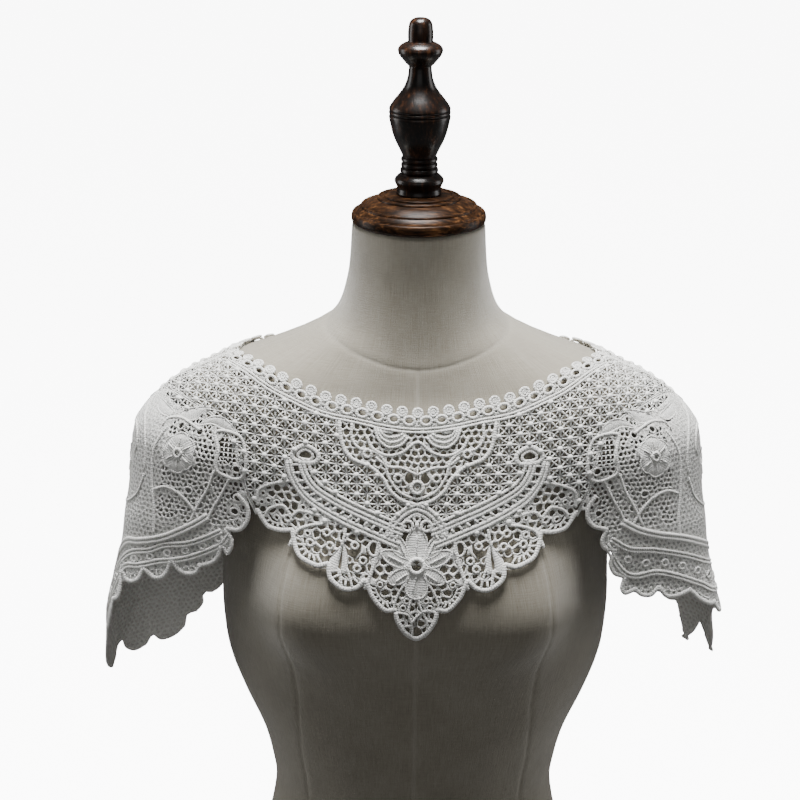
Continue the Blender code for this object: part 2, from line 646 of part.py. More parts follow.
# ------------------------------------------------------------------ the four lace pieces
def wheel_edge(wrap, neckline):
    """Right half of the neck edge, wheel by wheel, and the eyelets below it."""
    pitch = 1.0 / (WHEELS_PER_SIDE + 0.5)
    middles, ways = along(neckline, [k * pitch for k in range(WHEELS_PER_SIDE + 1)])
    joins, join_ways = along(neckline, [(k + 0.5) * pitch for k in range(WHEELS_PER_SIDE + 1)])
    ways[0] = (1.0, 0.0)
    edge = []
    eyelets = []
    for k in range(WHEELS_PER_SIDE + 1):
        lean = math.atan2(ways[k][1], ways[k][0])
        for turn in (160, 112, 68, 20):
            if k == 0 and turn > 90:
                continue
            a = lean + math.radians(turn)
            edge.append(tuple(middles[k] + WHEEL_RADIUS * np.array((math.cos(a), math.sin(a)))))
        down = np.array((join_ways[k][1], -join_ways[k][0]))
        if k < WHEELS_PER_SIDE:
            edge.append(tuple(joins[k] + down * 1.4))
            eyelets.append(oval(joins[k] + down * EYELET[2], EYELET[0], EYELET[1],
                                math.degrees(math.atan2(join_ways[k][1], join_ways[k][0])), 5))
    end = joins[-1][0]
    edge.append((end, wrap.ridge(end) - SEAM / 2))
    return edge, eyelets


def yoke_piece(name, facing, neckline, lower, colour):
    wrap = YokeWrap(facing)
    edge, gaps = wheel_edge(wrap, neckline)
    ridge = [(u, wrap.ridge(u) - SEAM / 2) for u in RIDGE_LINE]
    hem = hem_run(HEM_VALLEYS[0][:2], HEM_VALLEYS[1:], -1)
    tip = list(HEM_TIP)
    half = edge + ridge + list(SEAM_LINE) + hem + tip
    soft = len(edge) + len(ridge) + len(SEAM_LINE)
    other = mirrored(half)[::-1]
    outline = half + other[1:-1]
    rim = [k >= soft - 1 or k < len(edge) - 1 for k in range(len(half))]
    rim = rim + rim[::-1][1:-1]
    ridges = []
    for side in (1, -1):
        for spread in (SWAG_SPREAD, -SWAG_SPREAD):
            ridges += band(offset_line([(u * side, v) for u, v in SWAG_LINE], 8, spread), 7)
        ridges += band([(u * side, v - lower) for u, v in MEDALLION_LINE], 5)
    header = [(u, v - HEADER_DROP) for u, v in neckline[:8]]
    ridges += band(mirrored(header)[::-1] + header[1:], 19, 1.9, 0.9)
    for turn, reach, half_width in FLOWER_PETALS:
        ridges += petal(FLOWER, turn, reach, half_width, 6.5)
    gaps = gaps + [mirrored(g) for g in gaps]
    for u, v, a, b, turn in LONE_GAPS:
        v = v - lower if v > 20 else v
        gaps.append(oval((u, v), a, b, turn))
        if u > 0:
            gaps.append(mirrored(oval((u, v), a, b, turn)))
    for k, count in enumerate(FAN_GAPS):
        for gap in fan(HEM_VALLEYS[k][:2], HEM_VALLEYS[k + 1][:2], HEM_VALLEYS[k + 1][2], -1, count):
            gaps += [gap, mirrored(gap)]
    for line, count, a, b in BRIDE_ROWS:
        p, d = along(line, [(k + 0.5) / count for k in range(count)])
        for place, way in zip(p, d):
            gap = oval(place, a, b, math.degrees(math.atan2(way[1], way[0])))
            gaps += [gap, mirrored(gap)]
    lace_panel(name, wrap, outline, rim, ridges, gaps, colour)
    seam = [(214.0, wrap.ridge(214.0) - SEAM / 2)] + list(SEAM_LINE)
    return wrap, seam


def seam_beside(wrap, seam, hand):
    """The yoke's seam points, moved a seam's width outward over the cloth."""
    p = wrap.points([(u * hand, v) for u, v in seam])
    n = cloth_normal(p)
    way = np.gradient(p, axis=0)
    side = np.cross(n, way)
    side /= np.linalg.norm(side, axis=1, keepdims=True)
    side *= np.sign((side[:, 0] * hand).sum())
    return p + side * SEAM * 1.15


def shoulder_piece(name, hand, yokes, hem_rows, bands, colour):
    wrap = HangWrap(hand)
    front = wrap.flat(seam_beside(*yokes[0], hand))
    back = wrap.flat(seam_beside(*yokes[1], hand))
    seam = back[::-1][:-1] + front[1:]
    top = [((back[0][0] + front[0][0]) / 2, (back[0][1] + front[0][1]) / 2)]
    seam = back[::-1][:-1] + top + front[1:]
    hem = hem_run(front[-1], hem_rows, 1)
    hem += scallop(hem_rows[-1][:2], back[-1], 3.0, 1, 3)
    outline = seam + hem
    rim = [k == 0 or k >= len(seam) - 1 for k in range(len(outline))]
    ridges = []
    for line in bands:
        ridges += band(line, 11)
    ridges += band(LEAF_BAND, 6, 2.4)
    ridges += band(mirrored(LEAF_BAND), 6, 2.4)
    gaps = []
    for centre in (SMALL_FLOWER, (-SMALL_FLOWER[0], SMALL_FLOWER[1])):
        for turn, reach, half_width in SMALL_PETALS:
            ridges += petal(centre, turn, reach, half_width, 3.4)
        count, radius, a, b = SMALL_RING
        for k in range(count):
            t = 360.0 * (k + 0.5) / count
            place = (centre[0] + radius * math.cos(math.radians(t)), centre[1] + radius * math.sin(math.radians(t)))
            gaps.append(oval(place, a, b, t + 90.0, 5))
    between = [tuple((np.array(p) + np.array(q)) / 2) for p, q in zip(*bands)]
    p, d = along(between, [(k + 0.5) / 20 for k in range(20)])
    for place, way in zip(p, d):
        gaps.append(slot(place, 3.6, 2.6, math.degrees(math.atan2(way[1], way[0])) + 90.0))
    place = front[-1]
    for u, v, bulge in hem_rows:
        if bulge > 2.6:
            gaps += fan(place, (u, v), bulge, 1, 3 if math.dist(place, (u, v)) > 20 else 2, slot)
        place = (u, v)
    lace_panel(name, wrap, outline, rim, ridges, gaps, colour)


def build():
    for obj in list(bpy.data.objects):
        bpy.data.objects.remove(obj, do_unlink=True)
    lace = (0.86, 0.85, 0.80)
    dark = (0.055, 0.030, 0.020)
    form_solid()
    turned_solid("form_neck_cap", NECK_TOP + SEAT, CAP_TURNING, (0.16, 0.085, 0.045))
    turned_solid("form_finial", NECK_TOP + 2 * SEAT + CAP_TURNING[-1][1], FINIAL_TURNING, dark)
    yokes = [yoke_piece("lace_front", -1, NECKLINE, 0.0, lace),
             yoke_piece("lace_back", 1, NECKLINE_BACK, BACK_LOWER, lace)]
    shoulder_piece("lace_shoulder_left", -1, yokes, LEFT_HEM, LEFT_BANDS, lace)
    shoulder_piece("lace_shoulder_right", 1, yokes, RIGHT_HEM, RIGHT_BANDS, lace)


build()
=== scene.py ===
import math

import bpy
import numpy as np
from mathutils import Matrix, Vector
from mathutils.geometry import delaunay_2d_cdt


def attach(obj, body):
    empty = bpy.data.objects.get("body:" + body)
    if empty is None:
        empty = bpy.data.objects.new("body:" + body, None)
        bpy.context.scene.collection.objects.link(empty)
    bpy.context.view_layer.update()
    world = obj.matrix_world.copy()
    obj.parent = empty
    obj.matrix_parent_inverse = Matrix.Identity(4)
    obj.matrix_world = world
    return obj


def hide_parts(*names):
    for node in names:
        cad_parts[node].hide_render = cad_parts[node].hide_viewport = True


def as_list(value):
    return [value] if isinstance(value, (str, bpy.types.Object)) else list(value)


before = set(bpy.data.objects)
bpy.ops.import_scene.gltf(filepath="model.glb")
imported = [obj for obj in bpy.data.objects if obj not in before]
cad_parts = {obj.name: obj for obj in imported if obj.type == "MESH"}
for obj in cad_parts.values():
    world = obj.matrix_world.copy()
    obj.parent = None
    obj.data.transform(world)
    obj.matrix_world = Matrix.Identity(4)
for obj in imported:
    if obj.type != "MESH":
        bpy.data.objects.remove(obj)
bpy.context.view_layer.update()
bpy.ops.object.select_all(action="DESELECT")
print("frame loaded")

mm = 0.001

# camera: in front, looking a little down
view = {"target": (-0.014, 0.0, 0.541), "distance": 1.494, "pitch": 20.0, "roll": 0.4, "lens": 81.0}


def addCamera():
    pitch, roll = math.radians(view["pitch"]), math.radians(view["roll"])
    ahead = Vector((0.0, math.cos(pitch), -math.sin(pitch)))
    level = Vector((1.0, 0.0, 0.0))
    upright = Vector((0.0, math.sin(pitch), math.cos(pitch)))
    right = level * math.cos(roll) + upright * math.sin(roll)
    top = upright * math.cos(roll) - level * math.sin(roll)
    place = Vector(view["target"]) - ahead * view["distance"]
    bpy.ops.object.camera_add(location=place)
    camera = bpy.context.object
    camera.name = "frontCamera"
    turn = Matrix((right, top, -ahead)).transposed()
    camera.rotation_euler = turn.to_euler()
    camera.data.lens = view["lens"]
    camera.data.sensor_width = 36.0
    camera.data.clip_end = 20.0
    bpy.context.scene.camera = camera


addCamera()

# the form: height, half width, depth in front, depth behind, squareness
formRows = np.array((
    (0, 166, 104, 114, 2.3), (60, 160, 101, 111, 2.3), (120, 138, 90, 95, 2.2), (165, 125, 83, 81, 2.1),
    (190, 122, 82, 77, 2.1), (215, 125.5, 84, 77, 2.1), (239, 131, 88, 79, 2.1), (287, 150, 96, 86, 2.1),
    (310, 158, 100, 90, 2.1), (334, 163, 104, 94, 2.1), (369, 165, 108, 98, 2.1), (397, 164, 109, 101, 2.1),
    (430, 163, 109, 104, 2.1), (460, 165, 106, 106, 2.1), (491, 174, 101, 106, 2.1), (516, 186, 95, 103, 2.1),
    (534, 193, 89, 99, 2.1), (546, 194, 85, 96, 2.1), (555, 190, 81, 93, 2.1), (562, 183, 77.5, 90, 2.1),
    (569, 172, 74, 87, 2.1), (577, 156, 71, 84, 2.1), (586, 131, 67.5, 80, 2.05), (597, 103, 64, 75, 2),
    (607, 83, 61.5, 70, 2), (617, 69.5, 59.5, 65, 2), (628, 63, 57.5, 61, 2), (638, 59.7, 56, 58.5, 2),
    (658, 55.7, 54, 55.5, 2), (693.5, 53.3, 53, 53.3, 2),
))
# azimuth, angular width, lift, height, reach up, reach down
bustForms = ((-38, 19, 30, 392, 62, 46), (0, 20, 13, 392, 62, 46), (38, 19, 30, 392, 62, 46))
# the hanging cloth, same columns
drapeRows = np.array((
    (300, 266, 92, 94, 2.4), (340, 263, 92, 94, 2.4), (357, 262, 92, 94, 2.4), (380, 257, 91, 94, 2.4),
    (402, 251, 90, 93, 2.4), (425, 246, 89, 93, 2.4), (447, 243.5, 88, 92, 2.4), (469, 240, 87, 92, 2.35),
    (491, 238, 86, 91, 2.3), (513, 235.5, 84, 89, 2.3), (523, 233.5, 82, 87, 2.25), (534, 227, 78, 84, 2.2),
    (545, 216.5, 73, 79, 2.1), (555, 205, 67, 72, 2.1), (566, 187, 60, 64, 2), (577, 150, 50, 56, 2),
    (590, 100, 40, 46, 2), (640, 40, 30, 30, 2), (700, 30, 20, 20, 2),
))
# azimuth, angular width, depth of each hanging fold
foldRows = ((-124, 9, 4), (-99, 9, -4), (-81, 6.5, 6), (-67, 8, -4), (65, 8, -4), (79, 7, 6),
            (97, 9, -5), (121, 8, 4))
drape = {"foldTop": 545.0, "foldFull": 405.0, "wall": 1.4, "blend": 5.0,
         "rest": np.array(((300.0, 2.4), (470.0, 2.2), (545.0, 2.2), (700.0, 2.2)))}


def tableCurve(x, rows, column):
    xs, ys = rows[:, 0], rows[:, column]
    h = np.diff(xs)
    d = np.diff(ys) / h
    m = np.zeros(len(ys))
    m[0], m[-1] = d[0], d[-1]
    for i in range(1, len(xs) - 1):
        if d[i - 1] * d[i] > 0:
            w1, w2 = 2 * h[i] + h[i - 1], h[i] + 2 * h[i - 1]
            m[i] = (w1 + w2) / (w1 / d[i - 1] + w2 / d[i])
    x = np.clip(x, xs[0], xs[-1])
    i = np.clip(np.searchsorted(xs, x) - 1, 0, len(xs) - 2)
    t = (x - xs[i]) / h[i]
    a = (1 + 2 * t) * (1 - t) ** 2 * ys[i] + t * (1 - t) ** 2 * h[i] * m[i]
    b = t * t * (3 - 2 * t) * ys[i + 1] + t * t * (t - 1) * h[i] * m[i + 1]
    return a + b


def sectionRadius(azimuth, height, rows):
    half, front, back, square = (tableCurve(height, rows, k) for k in (1, 2, 3, 4))
    depth = np.where(np.cos(azimuth) > 0, front, back)
    across, ahead = np.abs(np.sin(azimuth)) / half, np.abs(np.cos(azimuth)) / depth
    return (across ** square + ahead ** square) ** (-1 / square)


def formRadius(azimuth, height):
    r = sectionRadius(azimuth, height, formRows)
    for turn, width, lift, level, above, below in bustForms:
        rise = height - level
        d = (np.degrees(azimuth) - turn + 180) % 360 - 180
        r = r + lift * np.exp(-(d / width) ** 2 - (rise / np.where(rise > 0, above, below)) ** 2)
    return r


def clothRadius(azimuth, height):
    space = np.interp(height, drape["rest"][:, 0], drape["rest"][:, 1])
    slope = (formRadius(azimuth, height + 1.0) - formRadius(azimuth, height - 1.0)) / 2.0
    lying = formRadius(azimuth, height) + (space + drape["wall"] / 2) * np.sqrt(1.0 + slope * slope)
    hanging = sectionRadius(azimuth, height, drapeRows)
    grow = np.clip((drape["foldTop"] - height) / (drape["foldTop"] - drape["foldFull"]), 0, 1)
    grow = grow * grow * (3 - 2 * grow)
    for turn, width, depth in foldRows:
        hanging = hanging + grow * depth * np.exp(-((np.degrees(azimuth) - turn) / width) ** 2)
    soft = drape["blend"]
    return np.maximum(lying, hanging) + soft * np.log1p(np.exp(-np.abs(lying - hanging) / soft))


# the cloth's radius, tabled once for quick reading: each degree round, each millimetre up
tableLow, tableHigh = 240.0, 720.0
radiusTable = clothRadius(*np.meshgrid(np.radians(np.arange(-180.0, 181.0)), np.arange(tableLow, tableHigh + 1.0),
                                       indexing="ij"))


def blended(grid, i, j, s, t):
    return (grid[i, j] * (1 - s) * (1 - t) + grid[i + 1, j] * s * (1 - t)
            + grid[i, j + 1] * (1 - s) * t + grid[i + 1, j + 1] * s * t)


def outside(p):
    a = np.degrees(np.arctan2(p[..., 0], -p[..., 1])) + 180.0
    h = np.clip(p[..., 2] - tableLow, 0.0, tableHigh - tableLow - 0.01)
    i = np.clip(a.astype(int), 0, 359)
    j = h.astype(int)
    return np.hypot(p[..., 0], p[..., 1]) - blended(radiusTable, i, j, a - i, h - j)


def clothPoint(centre, aim):
    near = np.full(aim.shape[:-1], 1.0)
    far = np.full(aim.shape[:-1], 420.0)
    for _ in range(22):
        middle = (near + far) / 2
        beyond = outside(centre + aim * middle[..., None]) > 0
        far = np.where(beyond, middle, far)
        near = np.where(beyond, near, middle)
    return centre + aim * ((near + far) / 2)[..., None]


def clothNormal(p):
    n = np.zeros(p.shape)
    for axis in range(3):
        step = np.zeros(3)
        step[axis] = 1.0
        n[..., axis] = outside(p + step) - outside(p - step)
    return n / np.linalg.norm(n, axis=-1, keepdims=True)


# how far along a line each of its points lies
def runLength(points):
    return np.concatenate([[0.0], np.cumsum(np.linalg.norm(np.diff(points, axis=0), axis=-1))])


# a wrap carries flat pattern places, in millimetres, on to the draped cloth
class clothWrap:
    def __init__(self, columns, tilts, level, shoot, turn):
        self.columns, self.tilts, self.shoot, self.turn = columns, tilts, shoot, turn
        grid = shoot(*np.meshgrid(columns, tilts, indexing="ij"))
        steps = np.linalg.norm(np.diff(grid, axis=1), axis=-1)
        arc = np.concatenate([np.zeros((len(columns), 1)), np.cumsum(steps, axis=1)], axis=1)
        half = len(tilts) * 2 // 3
        for i in range(len(columns)):
            arc[i] -= np.interp(level, grid[i, :half, 2], arc[i, :half])
        self.arc = arc
        self.low, self.step = -200.0, 2.0
        ups = np.arange(self.low, 262.0, self.step)
        tilt = np.stack([np.interp(ups, arc[i], tilts) for i in range(len(columns))])
        self.spots = shoot(np.repeat(columns[:, None], len(ups), 1), tilt)
        self.normals = clothNormal(self.spots)

    def carry(self, places):
        across = self.turn(places[:, 0])
        f = np.clip((across - self.columns[0]) / (self.columns[1] - self.columns[0]), 0, len(self.columns) - 1.001)
        g = np.clip((places[:, 1] - self.low) / self.step, 0, self.spots.shape[1] - 1.001)
        i, j = f.astype(int), g.astype(int)
        s, t = (f - i)[:, None], (g - j)[:, None]
        n = blended(self.normals, i, j, s, t)
        return blended(self.spots, i, j, s, t) + n / np.linalg.norm(n, axis=1, keepdims=True) * places[:, 2:3]

    def ridge(self, across):
        i = int(round((across - self.columns[0]) / (self.columns[1] - self.columns[0])))
        return float(np.interp(math.pi / 2, self.tilts, self.arc[i]))


# the yokes are shot from a level line through the body, the shoulder pieces from a point in each shoulder
yokeAxis = 430.0
shoulderAxis = {"out": 130.0, "up": 450.0}


def yokeWrap(facing):
    def shoot(across, tilt):
        centre = np.stack([across, 0 * across, 0 * across + yokeAxis], -1)
        return clothPoint(centre, np.stack([0 * across, facing * np.cos(tilt), np.sin(tilt)], -1))
    return clothWrap(np.arange(-246.0, 247.0, 3.0), np.radians(np.arange(-60.0, 101.0)), 470.0, shoot, lambda a: a)


def hangWrap(hand):
    def shoot(turn, tilt):
        centre = np.stack([0 * turn + hand * shoulderAxis["out"], 0 * turn, 0 * turn + shoulderAxis["up"]], -1)
        aim = np.stack([hand * np.cos(tilt) * np.cos(turn), np.cos(tilt) * np.sin(turn), np.sin(tilt)], -1)
        return clothPoint(centre, aim)
    columns = np.radians(np.arange(-125.0, 126.0, 1.25))
    level = shoot(columns, np.zeros(len(columns)))
    around = runLength(level)
    around = around - np.interp(0.0, columns, around)
    wrap = clothWrap(columns, np.radians(np.arange(-72.0, 91.0)), shoulderAxis["up"], shoot,
                     lambda a: np.interp(a, around, columns))
    wrap.around = around
    return wrap


def hangPlaces(wrap, hand, p):
    out = hand * p[:, 0] - shoulderAxis["out"]
    turn = np.arctan2(p[:, 1], out)
    tilt = np.arctan2(p[:, 2] - shoulderAxis["up"], np.hypot(out, p[:, 1]))
    i = np.round((turn - wrap.columns[0]) / (wrap.columns[1] - wrap.columns[0])).astype(int)
    i = np.clip(i, 0, len(wrap.columns) - 1)
    up = [np.interp(t, wrap.tilts, wrap.arc[k]) for t, k in zip(tilt, i)]
    return np.stack([np.interp(turn, wrap.columns, wrap.around), up], -1)


frontWrap, backWrap = yokeWrap(-1), yokeWrap(1)
leftWrap, rightWrap = hangWrap(-1), hangWrap(1)
print("cloth surface laid out")


# flat pattern helpers
def smoothLine(points, step=2.4, loop=False):
    p = np.array(points, float)
    if loop:
        ext = np.concatenate([p[-1:], p, p[:2]])
    else:
        ext = np.concatenate([2 * p[:1] - p[1:2], p, 2 * p[-1:] - p[-2:-1]])
    out = []
    for k in range(1, len(ext) - 2):
        a, b, c, d = ext[k - 1:k + 3]
        n = max(1, int(math.ceil(np.linalg.norm(c - b) / step)))
        t = (np.arange(n) / n)[:, None]
        out.append(0.5 * (2 * b + (c - a) * t + (2 * a - 5 * b + 4 * c - d) * t ** 2
                          + (3 * b - a - 3 * c + d) * t ** 3))
    if not loop:
        out.append(p[-1:])
    return np.concatenate(out)


def lineWays(p, loop=False):
    d = np.roll(p, -1, 0) - np.roll(p, 1, 0) if loop else np.gradient(p, axis=0)
    return d / np.maximum(np.linalg.norm(d, axis=1, keepdims=True), 1e-9)


def shifted(p, shift, loop=False):
    d = lineWays(p, loop)
    return p + shift * np.stack([-d[:, 1], d[:, 0]], -1)


# places at even steps along a line, and its ways there
def spread(p, count=0, pitch=0.0):
    length = runLength(p)
    if not count:
        count = max(1, int(round(length[-1] / pitch)))
    at = (np.arange(count) + 0.5) / count * length[-1]
    q = np.stack([np.interp(at, length, p[:, k]) for k in (0, 1)], -1)
    d = lineWays(p)
    w = np.stack([np.interp(at, length, d[:, k]) for k in (0, 1)], -1)
    return q, w / np.linalg.norm(w, axis=1, keepdims=True)


def insideLoop(points, loop):
    points = np.atleast_2d(points)
    loop = np.asarray(loop, float)
    x0, y0 = loop[:, 0][None], loop[:, 1][None]
    x1, y1 = np.roll(loop[:, 0], -1)[None], np.roll(loop[:, 1], -1)[None]
    x, y = points[:, :1], points[:, 1:2]
    crosses = (y0 > y) != (y1 > y)
    with np.errstate(divide="ignore", invalid="ignore"):
        at = x0 + (y - y0) * (x1 - x0) / (y1 - y0)
    return (np.count_nonzero(crosses & (x < at), axis=1) % 2).astype(bool)


def ovalLoop(place, rx, ry, count=14):
    t = 2 * math.pi * (np.arange(count) + 0.5) / count
    return np.array(place) + np.stack([rx * np.cos(t), ry * np.sin(t)], -1)


def flip(points):
    return np.array(points, float) * (-1.0, 1.0)


def grown(outline, share):
    middle = outline.mean(0)
    return middle + (outline - middle) * share


# faces of a tube, and their marks: how far along the thread, and what part of the way round it
def tubeFaces(rings, sides, way, loop=False):
    rows = rings if loop else rings - 1
    i = np.repeat(np.arange(rows), sides)
    k = np.tile(np.arange(sides), rows)
    j, o = (i + 1) % rings, (k + 1) % sides
    quads = np.stack([i * sides + k, j * sides + k, j * sides + o, i * sides + o], -1)
    along = np.stack([way[i], way[i + 1], way[i + 1], way[i]], -1)
    return quads, np.stack([along, np.stack([k, k, k + 1, k + 1], -1) / sides], -1)


# faces between rows of spots, each row a closed round
def bandFaces(sides, rows):
    m = np.arange(sides)
    o = (m + 1) % sides
    return np.concatenate([np.stack([m, o, o + sides, m + sides], -1) + k * sides for k in range(rows - 1)])


# thread work: every thread is modelled flat, then carried on to the cloth; sizes are radius and height in millimetres
threadCut = {
    "low": -0.62,  # underside of the threads, below the middle of the cloth
    "round": 0.85,  # height of a cord for its radius
    "tip": 0.7,  # how far a cord's rounded end stands out
    "knob": ((1.0, 0.0), (0.92, 0.45), (0.55, 0.88)),  # radius and height of each row
    "satinRows": (1.0, 0.9, 0.68, 0.36, 0.1),
    "satinEnds": (0.1, 0.9),  # the spine of a satin shape stops short of both ends
}


class threadWork:
    def __init__(self, wrap):
        self.wrap = wrap
        self.hand = 1  # minus one works the other half of the pattern
        self.low = threadCut["low"]
        self.parts = []
        self.count = 0

    # pattern places on the half that is being worked
    def placed(self, points):
        return np.atleast_2d(np.asarray(points, float)) * (self.hand, 1)

    def add(self, places, quads, quadMarks, tris=(), triMarks=()):
        places = self.wrap.carry(np.asarray(places, float).reshape(-1, 3))
        quads, tris = np.asarray(quads, int).reshape(-1, 4), np.asarray(tris, int).reshape(-1, 3)
        quadMarks = np.asarray(quadMarks, float).reshape(-1, 4, 2)
        triMarks = np.asarray(triMarks, float).reshape(-1, 3, 2)
        # faces point outwards whichever hand the wrap has
        q = places - places.mean(0)
        volume = sum(np.einsum("ij,ij->", np.cross(q[f[:, 0]], q[f[:, 1]]), q[f[:, 2]])
                     for f in (quads, quads[:, (0, 2, 3)], tris))
        if volume < 0:
            quads, quadMarks, tris, triMarks = quads[:, ::-1], quadMarks[:, ::-1], tris[:, ::-1], triMarks[:, ::-1]
        self.parts.append((places, quads + self.count, quadMarks, tris + self.count, triMarks))
        self.count += len(places)

    # the same faces on many sets of spots
    def copies(self, spots, quads, marks, tris=()):
        n = len(spots)
        base = (np.arange(n) * spots.shape[1])[:, None, None]
        tris = np.asarray(tris, int).reshape(-1, 3)
        self.add(spots, quads + base, np.broadcast_to(marks, (n, len(quads), 4, 2)), tris + base,
                 np.zeros((n, len(tris), 3, 2)))

    # rounds of spots about places along a thread
    def rounds(self, places, ways, radius, height, rise, sides):
        t = 2 * math.pi * (np.arange(sides) + 0.5) / sides
        across = np.stack([-ways[:, 1], ways[:, 0]], -1)
        flat = places[:, None] + across[:, None] * (radius * np.cos(t))[:, None]
        up = np.broadcast_to(self.low + rise + height + height * np.sin(t), flat.shape[:2])
        return np.concatenate([flat, up[..., None]], -1)

    # straight threads between paired points
    def sticks(self, a, b, radius, endRadius=None, flat=0.9, rise=0.0, sides=4):
        a, b = self.placed(a), self.placed(b)
        if not len(a):
            return
        endRadius = endRadius or radius
        length = np.linalg.norm(b - a, axis=1)
        ways = (b - a) / np.maximum(length, 1e-6)[:, None]
        spots = np.concatenate([self.rounds(a, ways, radius, flat * radius, rise, sides),
                                self.rounds(b, ways, endRadius, flat * endRadius, rise, sides)], 1)
        quads, marks = tubeFaces(2, sides, np.array((0, 1)))
        marks = marks * np.stack([length, np.ones(len(length))], -1)[:, None, None]
        if sides == 4:
            marks = np.concatenate([marks, np.zeros((len(a), 2, 4, 2))], 1)
            self.copies(spots, np.concatenate([quads, [(0, 1, 2, 3), (7, 6, 5, 4)]]), marks)
        else:
            ends = [(0, k, k + 1) for k in range(1, sides - 1)]
            self.copies(spots, quads, marks, ends + [(sides, sides + q, sides + p) for _, p, q in ends])

    # a round or flattened cord along a line, or beside it by the shift
    def cord(self, line, radius, height=None, sides=6, loop=False, rise=0.0, smooth=True, shift=0.0):
        p = smoothLine(line, loop=loop) if smooth else np.asarray(line, float)
        p = self.placed(shifted(p, shift, loop) if shift else p)
        n = len(p)
        height = height or threadCut["round"] * radius
        ways = lineWays(p, loop)
        spots = self.rounds(p, ways, radius, height, rise, sides).reshape(-1, 3)
        run = runLength(np.concatenate([p, p[:1]]) if loop else p)
        quads, marks = tubeFaces(n, sides, run, loop)
        if loop:
            self.add(spots, quads, marks)
            return
        # rounded ends
        tips = [np.append(p[k] + out * ways[k] * radius * threadCut["tip"], self.low + rise + height)
                for k, out in ((0, -1), (-1, 1))]
        m = np.arange(sides)
        o = (m + 1) % sides
        last = (n - 1) * sides
        tris = [np.stack(np.broadcast_arrays(n * sides, m, o), -1),
                np.stack(np.broadcast_arrays(n * sides + 1, last + o, last + m), -1)]
        triMarks = np.zeros((2 * sides, 3, 2))
        triMarks[sides:, :, 0] = run[-1]
        self.add(np.concatenate([spots, tips]), quads, marks, np.concatenate(tris), triMarks)

    # the same ring or oval at many places; size is a radius or a pair of them
    def rings(self, places, size, tube, turns=0.0, sides=6, parts=14, rise=0.0):
        places = self.placed(places)
        rx, ry = np.broadcast_to(size, 2)
        g = 2 * math.pi * np.arange(parts) / parts
        out = np.stack([ry * np.cos(g), rx * np.sin(g)], -1)
        out = out / np.linalg.norm(out, axis=1, keepdims=True)
        ways = np.stack([-out[:, 1], out[:, 0]], -1)
        line = np.stack([rx * np.cos(g), ry * np.sin(g)], -1)
        x, y, z = self.rounds(line, ways, tube, threadCut["round"] * tube, rise, sides).reshape(-1, 3).T
        a = np.radians(np.broadcast_to(turns, len(places)))[:, None] * self.hand
        spots = np.stack([places[:, :1] + x * np.cos(a) - y * np.sin(a), places[:, 1:] + x * np.sin(a) + y * np.cos(a),
                          np.broadcast_to(z, (len(places), len(z)))], -1)
        self.copies(spots, *tubeFaces(parts, sides, np.arange(parts + 1) * math.pi * (rx + ry) / parts, True))

    # small padded knobs
    def knobs(self, places, radius, height, sides=7, rise=0.0):
        places = self.placed(places)
        t = 2 * math.pi * np.arange(sides) / sides
        rows = [np.stack([radius * r * np.cos(t), radius * r * np.sin(t), np.full(sides, height * h)], -1)
                for r, h in threadCut["knob"]]
        shape = np.concatenate(rows + [[(0, 0, height), (0, 0, -0.1)]])
        top = 3 * sides
        m = np.arange(sides)
        o = (m + 1) % sides
        quads = bandFaces(sides, 3)
        tris = np.concatenate([np.stack(np.broadcast_arrays(m + 2 * sides, o + 2 * sides, top), -1),
                               np.stack(np.broadcast_arrays(o, m, top + 1), -1)])
        spots = np.zeros((len(places), len(shape), 3))
        spots[..., :2] = places[:, None] + shape[:, :2]
        spots[..., 2] = shape[:, 2] + self.low + rise
        self.copies(spots, quads, np.zeros((len(quads), 4, 2)), tris)

    # a padded satin shape from its closed outline, bent or straight
    def padded(self, outline, height, rise=0.0, rows=threadCut["satinRows"]):
        p = smoothLine(self.placed(outline), 2.6, True)
        n = len(p)
        q = p - p.mean(0)
        long = np.linalg.eigh(q.T @ q)[1][:, 1]
        p = np.roll(p, -int(np.argmin(q @ long)), 0)
        reach = (p - p.mean(0)) @ long
        m = np.arange(n)
        # the spine lies half way to the point across
        tip = int(np.argmax(reach))
        ring = np.concatenate([p, p[:1]])
        share = np.linspace(0, 1, 40)

        def side(numbers):
            f = np.interp(share, np.linspace(0, 1, len(numbers)), numbers)
            t = (f % 1)[:, None]
            return ring[np.floor(f).astype(int)] * (1 - t) + ring[np.ceil(f).astype(int)] * t
        middles = (side(np.arange(tip + 1)) + side(n - np.arange(n - tip + 1))) / 2
        f = np.clip(np.where(m <= tip, m / tip, (n - m) / (n - tip)), *threadCut["satinEnds"])
        spine = np.stack([np.interp(f, share, middles[:, k]) for k in (0, 1)], -1)
        up = [self.low + rise + height * math.sqrt(max(0.0, 1 - f * f)) for f in rows]
        spots = np.concatenate([np.column_stack([spine + (p - spine) * f, np.full(n, h)]) for f, h in zip(rows, up)])
        marks = np.concatenate([np.column_stack([reach, np.full(n, f)]) for f in rows])
        quads = bandFaces(n, len(rows))
        # close the crown and the underside by pairing the two sides
        last = (len(rows) - 1) * n
        tris = []
        i, j = 0, n - 1
        while j - i > 1:
            tris += [(last + i, last + i + 1, last + j), (i + 1, i, j)]
            i += 1
            if j - i > 1:
                tris += [(last + i, last + j - 1, last + j), (j - 1, i, j)]
                j -= 1
        self.add(spots, quads, marks[quads], tris, marks[np.array(tris)])

    # short bars that join two lines
    def ladder(self, lineA, lineB, radius, pitch=0.0, count=0, **how):
        a, _ = spread(smoothLine(lineA), count, pitch)
        b, _ = spread(smoothLine(lineB), len(a))
        self.sticks(a, b, radius, **how)

